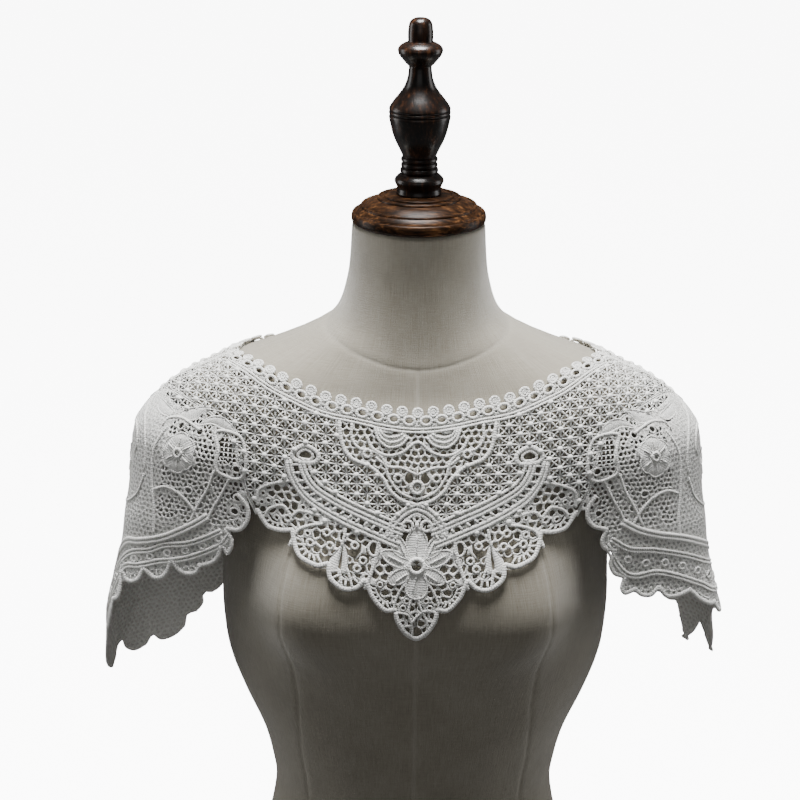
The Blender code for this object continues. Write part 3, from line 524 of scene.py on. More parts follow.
    def finish(self, name, material):
        spots, quads, quadMarks, tris, triMarks = (np.concatenate(column) for column in zip(*self.parts))
        starts = np.concatenate([np.arange(len(quads)) * 4, len(quads) * 4 + np.arange(len(tris)) * 3])
        loops = np.concatenate([quads.ravel(), tris.ravel()])
        mesh = bpy.data.meshes.new(name)
        mesh.vertices.add(len(spots))
        mesh.vertices.foreach_set("co", (spots * mm).astype(np.float32).ravel())
        mesh.loops.add(len(loops))
        mesh.loops.foreach_set("vertex_index", loops.astype(np.int32))
        mesh.polygons.add(len(starts))
        mesh.polygons.foreach_set("loop_start", starts.astype(np.int32))
        mesh.update(calc_edges=True)
        print(name, "triangles", 2 * len(quads) + len(tris))
        marks = np.concatenate([quadMarks.reshape(-1, 2), triMarks.reshape(-1, 2)])
        return newPiece(name, mesh, material, "thread", marks)


# a piece from its mesh, smooth and with its marks as a UV map
def newPiece(name, mesh, material, mapName, marks):
    mesh.polygons.foreach_set("use_smooth", np.ones(len(mesh.polygons), bool))
    mesh.uv_layers.new(name=mapName).data.foreach_set("uv", np.asarray(marks, np.float32).ravel())
    mesh.materials.append(material)
    piece = bpy.data.objects.new(name, mesh)
    bpy.context.scene.collection.objects.link(piece)
    return piece


# the last place on the way to far that passes a test
def reached(near, far, passes, rounds):
    for _ in range(rounds):
        middle = (near + far) / 2
        good = passes(middle)[:, None]
        near, far = np.where(good, middle, near), np.where(good, far, middle)
    return near


# threads cut where they leave an area; pieces shorter than the least are dropped
def clipped(a, b, keep, least=0.8):
    insideA, insideB = keep(a), keep(b)
    both = insideA & insideB
    one = insideA ^ insideB
    near = np.where(insideA[:, None], a, b)[one]
    far = np.where(insideA[:, None], b, a)[one]
    cut = reached(near, far, keep, 6)
    long = np.linalg.norm(cut - near, axis=1) > least
    return np.concatenate([a[both], near[long]]), np.concatenate([b[both], cut[long]])


def keeper(region, holes=()):
    def keep(points):
        good = insideLoop(points, region)
        for hole in holes:
            good &= ~insideLoop(points, hole)
        return good
    return keep


# star net: knobs with eight arms, set in a diamond net
starNetCut = {"across": 8.15, "up": 7.55, "origin": (39.4, 22.5), "knob": 2.55, "knobHeight": 2.75, "armThick": 1.0,
              "armThin": 0.52, "thread": 0.58, "uneven": 0.45}


def starNet(work, keep, low, high, thick=1.0):
    cut = starNetCut
    du, dv = pitch = np.array((cut["across"], cut["up"]))
    first = np.floor((np.array(low) - cut["origin"]) / pitch) - 1
    last = np.ceil((np.array(high) - cut["origin"]) / pitch) + 2
    grid = np.stack(np.meshgrid(*map(np.arange, first, last), indexing="ij"), -1).reshape(-1, 2)
    stars = grid[(grid.sum(1) % 2) == 0] * pitch + cut["origin"]
    corners = np.array(((du, 0), (0, dv), (-du, 0), (0, -dv)))
    ends = np.concatenate([corners, (corners + np.roll(corners, -1, 0)) / 2])
    way = ends / np.linalg.norm(ends, axis=1, keepdims=True)

    # hand work is never quite even: each point moves by its own place
    def uneven(p):
        u, v = p[..., 0], p[..., 1]
        return p + cut["uneven"] * np.stack([np.sin(1.7 * u + 2.3 * v), np.sin(2.9 * u - 1.3 * v)], -1)
    armA = (uneven(stars)[:, None] + way * cut["knob"] * 0.6).reshape(-1, 2)
    armB = uneven(stars[:, None] + ends).reshape(-1, 2)
    edgeA = uneven(np.concatenate([stars + corners[0], stars + corners[0]]))
    edgeB = uneven(np.concatenate([stars + corners[1], stars + corners[3]]))
    work.sticks(*clipped(armA, armB, keep), cut["armThick"] * thick, cut["armThin"] * thick)
    work.sticks(*clipped(edgeA, edgeB, keep), cut["thread"] * thick, flat=0.8)
    work.knobs(uneven(stars[keep(stars)]), cut["knob"], cut["knobHeight"], sides=8, rise=0.2)


# web: an irregular net whose threads are worked together; a closed cell has a sunken floor, some get a small ring
webCut = {"rowPitch": 0.87, "leastHole": 0.35, "hubSink": 0.35, "hubRise": 0.25, "rimRise": 0.14, "floorRise": 0.1,
          "ringThread": 0.75, "ringLift": 0.45}


def webNet(work, keep, low, high, cell, seed, web=0.95, height=0.72, closed=0.0, rings=0.0, ringSize=1.9, jitter=0.25,
           rounded=True):
    cut = webCut
    rng = np.random.default_rng(seed)
    seeds = []
    for k, v in enumerate(np.arange(low[1] - 2 * cell, high[1] + 2 * cell, cell * cut["rowPitch"])):
        us = np.arange(low[0] - 2 * cell + (k % 2) * cell / 2, high[0] + 2 * cell, cell)
        seeds.append(np.column_stack([us, np.full(len(us), v)]))
    seeds = np.concatenate(seeds)
    seeds = seeds + rng.uniform(-jitter, jitter, seeds.shape) * cell
    flat, _, faces, _, _, _ = delaunay_2d_cdt([tuple(map(float, p)) for p in seeds], [], [], 0, 1e-5)
    flat = np.array([tuple(p) for p in flat])
    faces = np.array([face for face in faces if len(face) == 3])
    # a knot lies at the same distance from the middles of three cells
    a, b, c = flat[faces[:, 0]], flat[faces[:, 1]], flat[faces[:, 2]]
    d = 2 * ((a[:, 0] * (b[:, 1] - c[:, 1])) + b[:, 0] * (c[:, 1] - a[:, 1]) + c[:, 0] * (a[:, 1] - b[:, 1]))
    sa, sb, sc = (a ** 2).sum(1), (b ** 2).sum(1), (c ** 2).sum(1)
    knots = np.column_stack([(sa * (b[:, 1] - c[:, 1]) + sb * (c[:, 1] - a[:, 1]) + sc * (a[:, 1] - b[:, 1])) / d,
                             (sa * (c[:, 0] - b[:, 0]) + sb * (a[:, 0] - c[:, 0]) + sc * (b[:, 0] - a[:, 0])) / d])
    kept = keep(flat)
    draws = rng.random((len(flat), 2))
    filled = draws[:, 0] < (closed(flat) if callable(closed) else closed)
    owners = kept[faces]
    used = owners.any(1)
    # a knot outside the area is drawn back to its edge
    share = owners / np.maximum(owners.sum(1), 1)[:, None]
    home = (flat[faces] * share[..., None]).sum(1)
    first = flat[faces[np.arange(len(faces)), owners.argmax(1)]]
    move = np.flatnonzero(used & ~keep(knots))
    near = np.where(keep(home[move])[:, None], home[move], first[move])
    knots[move] = reached(near, knots[move], keep, 7)
    around = [[] for _ in flat]
    for n in np.flatnonzero(used):
        for k in faces[n]:
            around[k].append(n)
    crest, edges, spots, quads, quadMarks, tris, triMarks, centres = {}, {}, [], [], [], [], [], []
    top, rim, under = work.low + 2 * height, work.low + height, work.low

    # crest points are shared by the cells that meet there
    def crestPair(key, place):
        if key not in crest:
            crest[key] = len(spots)
            spots.extend([(*place, top), (*place, under)])
        return crest[key]

    for k in np.flatnonzero(kept):
        ring = np.array(around[k])
        turn = np.arctan2(knots[ring, 1] - flat[k, 1], knots[ring, 0] - flat[k, 0])
        ring = ring[np.argsort(turn)]
        if len(ring) < 3:
            continue
        keys, places = [], []
        for p, q in zip(ring, np.roll(ring, -1)):
            keys.append((p, p))
            places.append(knots[p])
            if rounded:
                keys.append((min(p, q), max(p, q)))
                places.append((knots[p] + knots[q]) / 2)
        places = np.array(places)
        n = len(places)
        centre = places.mean(0)
        away = places - centre
        far = np.linalg.norm(away, axis=1)
        reach = np.minimum(far - web, far.mean() - web)
        outer = [crestPair(key, place) for key, place in zip(keys, places)]
        run = runLength(np.concatenate([places, places[:1]]))
        steps = [(i, (i + 1) % n) for i in range(n)]
        for i, o in steps:
            edges.setdefault(tuple(sorted((outer[i], outer[o]))), []).append((outer[i], outer[o]))
        if reach.min() < cut["leastHole"]:
            # too small to open: both faces run to the middle
            hub = len(spots)
            spots.extend([(*centre, top - cut["hubSink"] * height), (*centre, under + cut["hubRise"] * height)])
            for i, o in steps:
                tris += [(outer[i], outer[o], hub), (outer[o] + 1, outer[i] + 1, hub + 1)]
                triMarks += [((run[i], 0), (run[i + 1], 0), (run[i], 1)), ((run[i + 1], 0), (run[i], 0), (run[i], 1))]
            continue
        inner = len(spots)
        lower = n if filled[k] else 0
        hole = centre + away / far[:, None] * reach[:, None]
        spots.extend((*p, rim + (cut["rimRise"] if lower else 0.0)) for p in hole)
        if lower:
            spots.extend((*p, under + cut["floorRise"]) for p in hole)
            # the floor's marks lie past one across, where the finish paints it darker as shade
            for i in range(1, n - 1):
                tris += [(inner, inner + i, inner + i + 1), (inner + n, inner + n + i + 1, inner + n + i)]
                triMarks += [((0, 2), (1, 2), (1, 2)), ((0, 1.4), (1, 1.4), (1, 1.4))]
        for i, o in steps:
            quads += [(outer[i], outer[o], inner + o, inner + i),
                      (outer[o] + 1, outer[i] + 1, inner + i + lower, inner + o + lower)]
            quadMarks += [((run[i], 0), (run[i + 1], 0), (run[i + 1], 1), (run[i], 1)),
                          ((run[i + 1], 0), (run[i], 0), (run[i], 1), (run[i + 1], 1))]
        if draws[k, 1] < rings and reach.min() > 0.6 * ringSize and not lower:
            centres.append(centre)
    for pairs in edges.values():
        if len(pairs) == 1:
            p, q = pairs[0]
            quads.append((q, p, p + 1, q + 1))
            quadMarks.append(((0, 0), (1, 0), (1, 1), (0, 1)))
    work.add(np.array(spots) * (work.hand, 1, 1), quads, quadMarks, tris, triMarks)
    if centres:
        work.rings(centres, ringSize, cut["ringThread"], parts=10, sides=5, rise=cut["ringLift"])


# one scallop: thick rim cord that runs on past each end in a valley, inner arch, bars between them
scallopCut = {"rim": 1.95, "height": 1.15, "overlap": 2.4, "sink": 3.6, "arch": 0.5, "archThick": 0.95}


# each scallop starts where the one before it ends
def chained(rows):
    paths = [rows[0]]
    for row in rows[1:]:
        paths.append((paths[-1][-1], *row))
    return paths


def scallopLines(path, inward):
    cut = scallopCut
    edge = shifted(smoothLine(path), inward * cut["rim"])
    way = edge[-1] - edge[0]
    way = way / np.linalg.norm(way)
    middle = (edge[0] + edge[-1]) / 2 + inward * cut["sink"] * np.array((-way[1], way[0]))
    return edge, middle + (edge - middle) * cut["arch"]


def scallop(work, path, inward, bars, bar, runOn=(1.0, 1.0)):
    cut = scallopCut
    edge, inner = scallopLines(path, inward)
    ends = lineWays(edge)
    over = cut["overlap"] * np.array(runOn)
    rim = np.concatenate([[edge[0] - ends[0] * over[0]], edge, [edge[-1] + ends[-1] * over[1]]])
    work.cord(rim, cut["rim"], cut["height"], sides=8, smooth=False)
    work.cord(inner, cut["archThick"], smooth=False)
    work.ladder(inner, edge, bar, count=bars, sides=5)


# finishes: a material or world and short ways to add its nodes
class nodeTree:
    def __init__(self, owner):
        owner.use_nodes = True
        self.nodes, self.links = owner.node_tree.nodes, owner.node_tree.links

    def feed(self, node, inputs):
        for socket, value in inputs.items():
            if isinstance(value, bpy.types.NodeSocket):
                self.links.new(value, node.inputs[socket])
            elif value is not None:
                node.inputs[socket].default_value = value

    def node(self, kind, inputs=(), **settings):
        node = self.nodes.new("ShaderNode" + kind)
        for setting, value in settings.items():
            setattr(node, setting, value)
        self.feed(node, dict(inputs))
        return node

    def math(self, operation, *values):
        return self.node("Math", dict(enumerate(values)), operation=operation).outputs[0]

    def noise(self, vector, scale, detail=2.0, rough=0.5):
        inputs = {"Vector": vector, "Scale": scale, "Detail": detail, "Roughness": rough}
        return self.node("TexNoise", inputs).outputs["Fac"]

    def stretched(self, vector, scale):
        return self.node("Mapping", {"Vector": vector, "Scale": scale}).outputs["Vector"]

    def bump(self, height, strength, distance, normal=None):
        inputs = {"Height": height, "Strength": strength, "Distance": distance, "Normal": normal}
        return self.node("Bump", inputs).outputs["Normal"]

    def ramp(self, value, stops):
        node = self.node("ValToRGB", {"Fac": value})
        ramp = node.color_ramp
        while len(ramp.elements) < len(stops):
            ramp.elements.new(0.5)
        for element, (at, colour) in zip(ramp.elements, stops):
            element.position = at
            element.color = (*colour, 1.0)
        return node.outputs["Color"]

    # the piece's own UV map, and its two directions apart
    def marks(self, mapName):
        uv = self.node("UVMap", uv_map=mapName).outputs["UV"]
        split = self.node("SeparateXYZ", {"Vector": uv}).outputs
        return uv, split["X"], split["Y"]

    def objectPlace(self):
        return self.node("TexCoord").outputs["Object"]

    def shade(self, **inputs):
        self.feed(self.nodes["Principled BSDF"], {name.replace("_", " "): value for name, value in inputs.items()})


linenLook = {"seam": (0.130, 0.112, 0.088), "dark": (0.244, 0.219, 0.174), "mid": (0.306, 0.280, 0.226),
             "pale": (0.369, 0.341, 0.284), "pitch": 0.95, "roughness": 0.93,
             "slubs": ((1.1, 0.05, 1.0), (0.06, 1.1, 1.0))}


def linenFinish():
    look = linenLook
    material = bpy.data.materials.new("linen")
    tree = nodeTree(material)
    uv, across, up = tree.marks("cloth")
    turn = 2 * math.pi / look["pitch"]
    weave = tree.math("MULTIPLY", *(tree.math("SINE", tree.math("MULTIPLY", way, turn)) for way in (across, up)))
    tallSlub, wideSlub = (tree.noise(tree.stretched(uv, scale), 1.0, 3.0, 0.6) for scale in look["slubs"])
    cloud = tree.noise(uv, 0.018)
    slub = tree.math("ADD", tree.math("MULTIPLY", tallSlub, 0.42), tree.math("MULTIPLY", wideSlub, 0.26))
    tone = tree.math("ADD", slub, tree.math("MULTIPLY", cloud, 0.32))
    tone = tree.math("MULTIPLY_ADD", weave, 0.035, tone)
    # painted highlight: the linen is painted paler along the seams, where their raised edges catch light
    sewn = tree.node("Attribute", attribute_name="seam").outputs["Fac"]
    tone = tree.math("MULTIPLY_ADD", sewn, 0.09, tone)
    stops = ((0.10, look["seam"]), (0.34, look["dark"]), (0.5, look["mid"]), (0.68, look["pale"]))
    bump = tree.bump(slub, 0.5, 0.0012, tree.bump(weave, 0.35, 0.0002))
    tree.shade(Base_Color=tree.ramp(tone, stops), Normal=bump, Roughness=look["roughness"], Sheen_Weight=0.5,
               Sheen_Roughness=0.45, Specular_IOR_Level=0.25)
    return material


# the floor colour is the painted shade on the floors of closed cells
laceLook = {"floor": (0.50, 0.495, 0.47), "shade": (0.70, 0.69, 0.655), "thread": (0.86, 0.855, 0.82),
            "bright": (0.91, 0.905, 0.875), "pitch": 0.6, "stitch": 2.0, "roughness": 0.78}


def laceFinish():
    look = laceLook
    material = bpy.data.materials.new("laceThread")
    tree = nodeTree(material)
    _, along, across = tree.marks("thread")
    place = tree.objectPlace()
    wobble = tree.noise(place, 900.0)
    fuzz = tree.noise(place, 2600.0)
    cloud = tree.noise(place, 26.0, 3.0)
    knots = tree.noise(place, 420.0)

    # stitches across the thread, put out of step by the wobble
    def stitches(pitch, drift):
        phase = tree.math("MULTIPLY_ADD", along, 2 * math.pi / pitch, tree.math("MULTIPLY", wobble, drift))
        return tree.math("SINE", phase)
    satin, stitch = stitches(look["pitch"], 3.0), stitches(look["stitch"], 4.0)
    tone = tree.math("ADD", tree.math("MULTIPLY", cloud, 0.3), tree.math("MULTIPLY", fuzz, 0.3))
    for pattern, share in ((knots, 0.4), (satin, 0.04), (stitch, 0.05)):
        tone = tree.math("MULTIPLY_ADD", pattern, share, tone)
    # painted shade: the floors of closed cells are painted darker, as shade in the recess; their marks lie past one
    # across the thread
    floorShade = tree.math("MINIMUM", tree.math("MAXIMUM", tree.math("SUBTRACT", across, 1.0), 0.0), 1.0)
    tone = tree.math("MULTIPLY_ADD", floorShade, -0.36, tone)
    bump = None
    for pattern, strength, distance in ((satin, 0.4, 0.00016), (stitch, 0.45, 0.00045), (knots, 0.35, 0.0009),
                                        (fuzz, 0.4, 0.0003)):
        bump = tree.bump(pattern, strength, distance, bump)
    stops = ((0.1, look["floor"]), (0.36, look["shade"]), (0.5, look["thread"]), (0.66, look["bright"]))
    tree.shade(Base_Color=tree.ramp(tone, stops), Normal=bump, Roughness=look["roughness"], Sheen_Weight=0.2,
               Sheen_Roughness=0.5, Specular_IOR_Level=0.3)
    return material


woodLook = {"cap": ((0.008, 0.004, 0.002), (0.032, 0.014, 0.006), (0.170, 0.078, 0.030)),
            "finial": ((0.003, 0.0018, 0.0012), (0.014, 0.006, 0.0032), (0.085, 0.034, 0.014))}


def woodFinish(name, tones, roughness, coat, shine, grain):
    material = bpy.data.materials.new(name)
    tree = nodeTree(material)
    place = tree.objectPlace()
    streak = tree.noise(tree.stretched(place, grain), 1.0, 6.0, 0.65)
    cloud = tree.noise(place, 18.0, 3.0)
    pores = tree.noise(tree.stretched(place, tuple(g * 6 for g in grain)), 1.0)
    tone = tree.math("ADD", tree.math("MULTIPLY", streak, 0.75), tree.math("MULTIPLY", cloud, 0.25))
    colour = tree.ramp(tone, tuple(zip((0.42, 0.53, 0.68), tones)))
    tree.shade(Base_Color=colour, Normal=tree.bump(pores, 0.12, 0.0004), Roughness=roughness, Coat_Weight=coat,
               Coat_Roughness=0.2, Specular_IOR_Level=shine)
    return material


linen = linenFinish()
lace = laceFinish()
capWood = woodFinish("capWood", woodLook["cap"], 0.34, 0.0, 0.1, (30.0, 300.0, 420.0))
finialWood = woodFinish("finialWood", woodLook["finial"], 0.32, 0.35, 0.22, (260.0, 260.0, 30.0))
print("finishes made")

# dress form: one padded body under a linen cover with sewn seams
formCut = {
    # heights and azimuths of each upright seam, how strong the painted highlight along it is, the height up to which
    # it is sewn;
    # those between the back and the front are mirrored
    "seams": (
        ((0, 700), (-180, -180), 0.6, 700),
        ((0, 120, 190, 300, 430, 560, 700), (-146, -143, -141, -142, -140, -128, -128), 0.4, 560),
        ((0, 700), (-90, -90), 0.6, 612),
        ((0, 120, 190, 240, 300, 392, 470, 560, 700), (-50, -55, -58, -57, -51, -44, -46, -62, -62), 0.3, 565),
        ((0, 700), (0, 0), 2.2, 589),
    ),
    "neckSeam": ((0, 10, 20, 35, 60, 90, 135, 180), (589.6, 590.2, 592, 596.8, 606, 613, 611, 608)), "neckMark": 592,
    "groove": 0.55, "grooveWidth": 1.1, "puff": 0.5, "puffWidth": 7, "pucker": 0.16, "highlightWidth": 1.7, "between": 9,
    "rowStep": 5, "extraRows": (1.5, 12, 13, 14, 690, 692.6), "top": 693.5, "mapRadius": 120,
}


def dip(d, width):
    return np.exp(-(d / width) ** 2)


def buildForm():
    cut = formCut
    half = cut["seams"]
    seams = [*half, *((heights, [-turn for turn in turns], *rest) for heights, turns, *rest in half[3:0:-1])]
    mark = cut["neckMark"]
    rows = [h for h in (*np.arange(0.0, cut["top"], cut["rowStep"]), cut["top"]) if abs(h - mark) > 6.0]
    rows = sorted([*rows, *(mark + d for d in (-6.0, -3.0, -1.2, 0.0, 1.2, 3.0, 6.0)), *cut["extraRows"]])
    rows = [h for k, h in enumerate(rows) if k == 0 or h - rows[k - 1] > 0.7]
    # columns stand close beside a seam and wider between two
    close = [step * math.degrees(1.0 / 110.0) for step in (0.0, 1.2, 2.8, 6.0)]
    spots, marks, highlightMarks = [], [], []
    for h in rows:
        turns = [np.interp(h, seam[0], seam[1]) for seam in seams] + [180.0]
        azimuth = []
        for turn, nextTurn in zip(turns, turns[1:]):
            gap = nextTurn - turn
            wide = np.linspace(close[-1], gap - close[-1], cut["between"] + 2)[1:-1]
            azimuth += [turn + d for d in (*close, *wide, *(gap - c for c in close[:0:-1]))]
        azimuth = np.array(azimuth)
        seamAt = np.interp(np.abs(azimuth), *cut["neckSeam"])
        height = h + (seamAt - mark) * math.exp(-((h - mark) / 26.0) ** 2)
        a = np.radians(azimuth)
        r = formRadius(a, height)
        lift, seamHighlight = np.zeros((2, len(a)))
        for k, (turn, (_, _, tone, top)) in enumerate(zip(turns, seams)):
            d = np.abs((azimuth - turn + 180) % 360 - 180) * math.pi / 180 * r
            sewn = 1.0 / (1.0 + np.exp((height - top) / 1.5)) if top < 690 else 1.0
            lift += sewn * (-cut["groove"] * dip(d, cut["grooveWidth"])
                            + cut["puff"] * (dip(d, cut["puffWidth"]) - dip(d, 3.0)))
            lift += sewn * cut["pucker"] * np.sin(height * 0.75 + k) * dip(d, 6.0)
            # painted highlight: a pale line along each seam and the neck seam, where the raised edge catches light
            seamHighlight = np.maximum(seamHighlight, tone * sewn * dip(d, cut["highlightWidth"]))
        d = np.abs(height - seamAt)
        highlightMarks.append(np.maximum(seamHighlight, dip(d, cut["highlightWidth"])))
        lift += -cut["groove"] * dip(d, cut["grooveWidth"]) + 0.35 * (dip(d, 6.0) - dip(d, 3.0))
        # a sewn line above the underside, and both ends turned over
        lift += -0.5 * dip(height - 13.0, 1.2)
        lift -= 1.4 * np.exp(-height / 1.2) + 1.0 * np.exp(-(cut["top"] - height) / 0.8)
        r = r + np.minimum(lift, 0.45)
        spots.append(np.stack([r * np.sin(a), -r * np.cos(a), height], -1))
        marks.append(np.stack([a * cut["mapRadius"], height], -1))
    n = len(azimuth)
    points = np.concatenate(spots)
    quads = bandFaces(n, len(rows))
    corners = np.concatenate(marks)[quads]
    corners[quads[:, 1] % n == 0, 1:3, 0] += 2 * math.pi * cut["mapRadius"]
    ends = tuple(range(n))[::-1], tuple(range(len(points) - n, len(points)))
    mesh = bpy.data.meshes.new("dressForm")
    mesh.from_pydata([tuple(p) for p in points * mm], [], [*map(tuple, quads), *ends])
    mesh.update()
    # the painted highlight along the seams goes to the linen's finish as the point attribute seam
    sewn = mesh.attributes.new(name="seam", type="FLOAT", domain="POINT")
    sewn.data.foreach_set("value", np.concatenate(highlightMarks).astype(np.float32))
    print("dressForm triangles", 2 * (len(quads) + n - 2))
    corners = np.concatenate([corners.reshape(-1, 2), *(points[list(end), :2] for end in ends)])
    return newPiece("dressForm", mesh, linen, "cloth", corners)


dressForm = buildForm()
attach(dressForm, "root")
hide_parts("form_body")

# turned wood: a disc is extruded step by step up the axis and scaled to each radius
neckCap = {
    "foot": 693.8,
    # radius, height of each run; a run is rounded and its ends are crisp
    "runs": (
        ((51, 0), (52.6, 0.3), (53.7, 1.6), (54, 4), (53.7, 6.6), (52.9, 8.1), (51.9, 8.4)),
        ((51.9, 8.4), (51.3, 7.7), (50.6, 8.2)),
        ((50.6, 8.2), (50, 9.3), (48.4, 11), (46.6, 12.4)),
        ((46.6, 12.4), (46.5, 13.6), (45.7, 14.3), (44.6, 14.1), (44, 13.3)),
        ((44, 13.3), (42.8, 14.2), (38, 17.1), (33.6, 18.9)),
        ((33.6, 18.9), (33.5, 20.1), (32.7, 20.8), (31.6, 20.7), (31, 19.8)),
        ((31, 19.8), (30.2, 20.1), (28.6, 20.7)),
        ((28.6, 20.7), (28.5, 21.8), (27.8, 22.4), (26.8, 22.3), (26.2, 21.4)),
        ((26.2, 21.4), (24, 21.9), (20, 22.4), (12, 22.5), (1, 22.5)),
    ),
}
finial = {
    "foot": 716.6,
    "runs": (
        ((17.4, 0), (18.1, 0.5), (17.8, 2.4), (17.6, 4.6), (18.3, 7), (19.4, 9.2), (19.7, 10.8), (19.1, 12.6)),
        ((19, 12.6), (17.4, 14.4), (15.6, 15.8), (14, 16.6)),
        ((14, 16.6), (15, 17.8), (15.2, 19), (14.8, 20.4), (13.5, 21.3)),
        ((13.5, 21.3), (14.4, 22.2), (14.6, 23.2), (14.2, 24.6), (13.2, 25.6)),
        ((13.2, 25.6), (14.4, 26.6), (14.7, 27.8), (14.3, 29), (13.3, 29.8)),
        ((13.3, 29.8), (14.2, 32.2), (15.8, 35.6), (19, 42), (21.6, 49), (23.5, 57), (24.4, 61.6)),
        ((24.4, 61.6), (23.9, 62.9), (23.3, 63.4)),
        ((23.3, 63.4), (24.1, 64), (24.4, 65), (24.1, 66), (23.5, 66.5)),
        ((23.5, 66.5), (24.2, 67.2), (24.2, 68.4), (23.2, 70.4), (20.4, 74.4), (16.4, 79.4), (13, 84.2), (10.9, 89),
         (9.6, 94), (9, 99.6), (9.1, 101.2)),
        ((9.1, 101.2), (10.6, 102.4), (13.4, 105.6), (16.4, 109.4), (17.6, 112.6), (17.3, 115), (15.4, 117.2),
         (12.4, 118.9), (10.2, 119.7)),
        ((10.2, 119.7), (9.8, 120.6), (9.9, 123.6), (9.8, 128), (9.3, 132.2)),
        ((9.3, 132.2), (8.7, 134.4), (7.2, 136.4), (4.6, 137.9), (1, 138.4)),
    ),
}


def turnedPiece(name, cut, finish, step=0.9):
    steps = []
    for run in cut["runs"]:
        steps += [tuple(p) for p in smoothLine(run, step)[(1 if steps else 0):]]
    bpy.ops.object.select_all(action="DESELECT")
    radius, height = steps[0]
    bpy.ops.mesh.primitive_circle_add(vertices=96, radius=radius * mm, fill_type="NGON",
                                      location=(0.0, 0.0, (cut["foot"] + height) * mm))
    piece = bpy.context.object
    piece.name = piece.data.name = name
    bpy.ops.object.transform_apply(location=True, rotation=True, scale=True)
    bpy.ops.object.mode_set(mode="EDIT")
    bpy.ops.mesh.select_mode(type="FACE")
    bpy.ops.mesh.select_all(action="SELECT")
    for nextRadius, nextHeight in steps[1:]:
        bpy.ops.mesh.extrude_region_move(TRANSFORM_OT_translate={"value": (0.0, 0.0, (nextHeight - height) * mm)})
        bpy.ops.transform.resize(value=(nextRadius / radius, nextRadius / radius, 1.0),
                                 center_override=(0.0, 0.0, (cut["foot"] + nextHeight) * mm))
        radius, height = nextRadius, nextHeight
    bpy.ops.mesh.select_all(action="SELECT")
    bpy.ops.mesh.remove_doubles(threshold=0.00001)
    bpy.ops.mesh.normals_make_consistent(inside=False)
    bpy.ops.object.mode_set(mode="OBJECT")
    bpy.ops.object.shade_smooth_by_angle(angle=math.radians(32.0))
    piece.data.materials.append(finish)
    print(name, "rings", len(steps))
    return piece


for name, cut, finish, node, slot in (("neckCap", neckCap, capWood, "form_neck_cap", "cap_wood"),
                                      ("finial", finial, finialWood, "form_finial", "finial_wood")):
    piece = turnedPiece(name, cut, finish)
    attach(piece, "root")
    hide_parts(node)

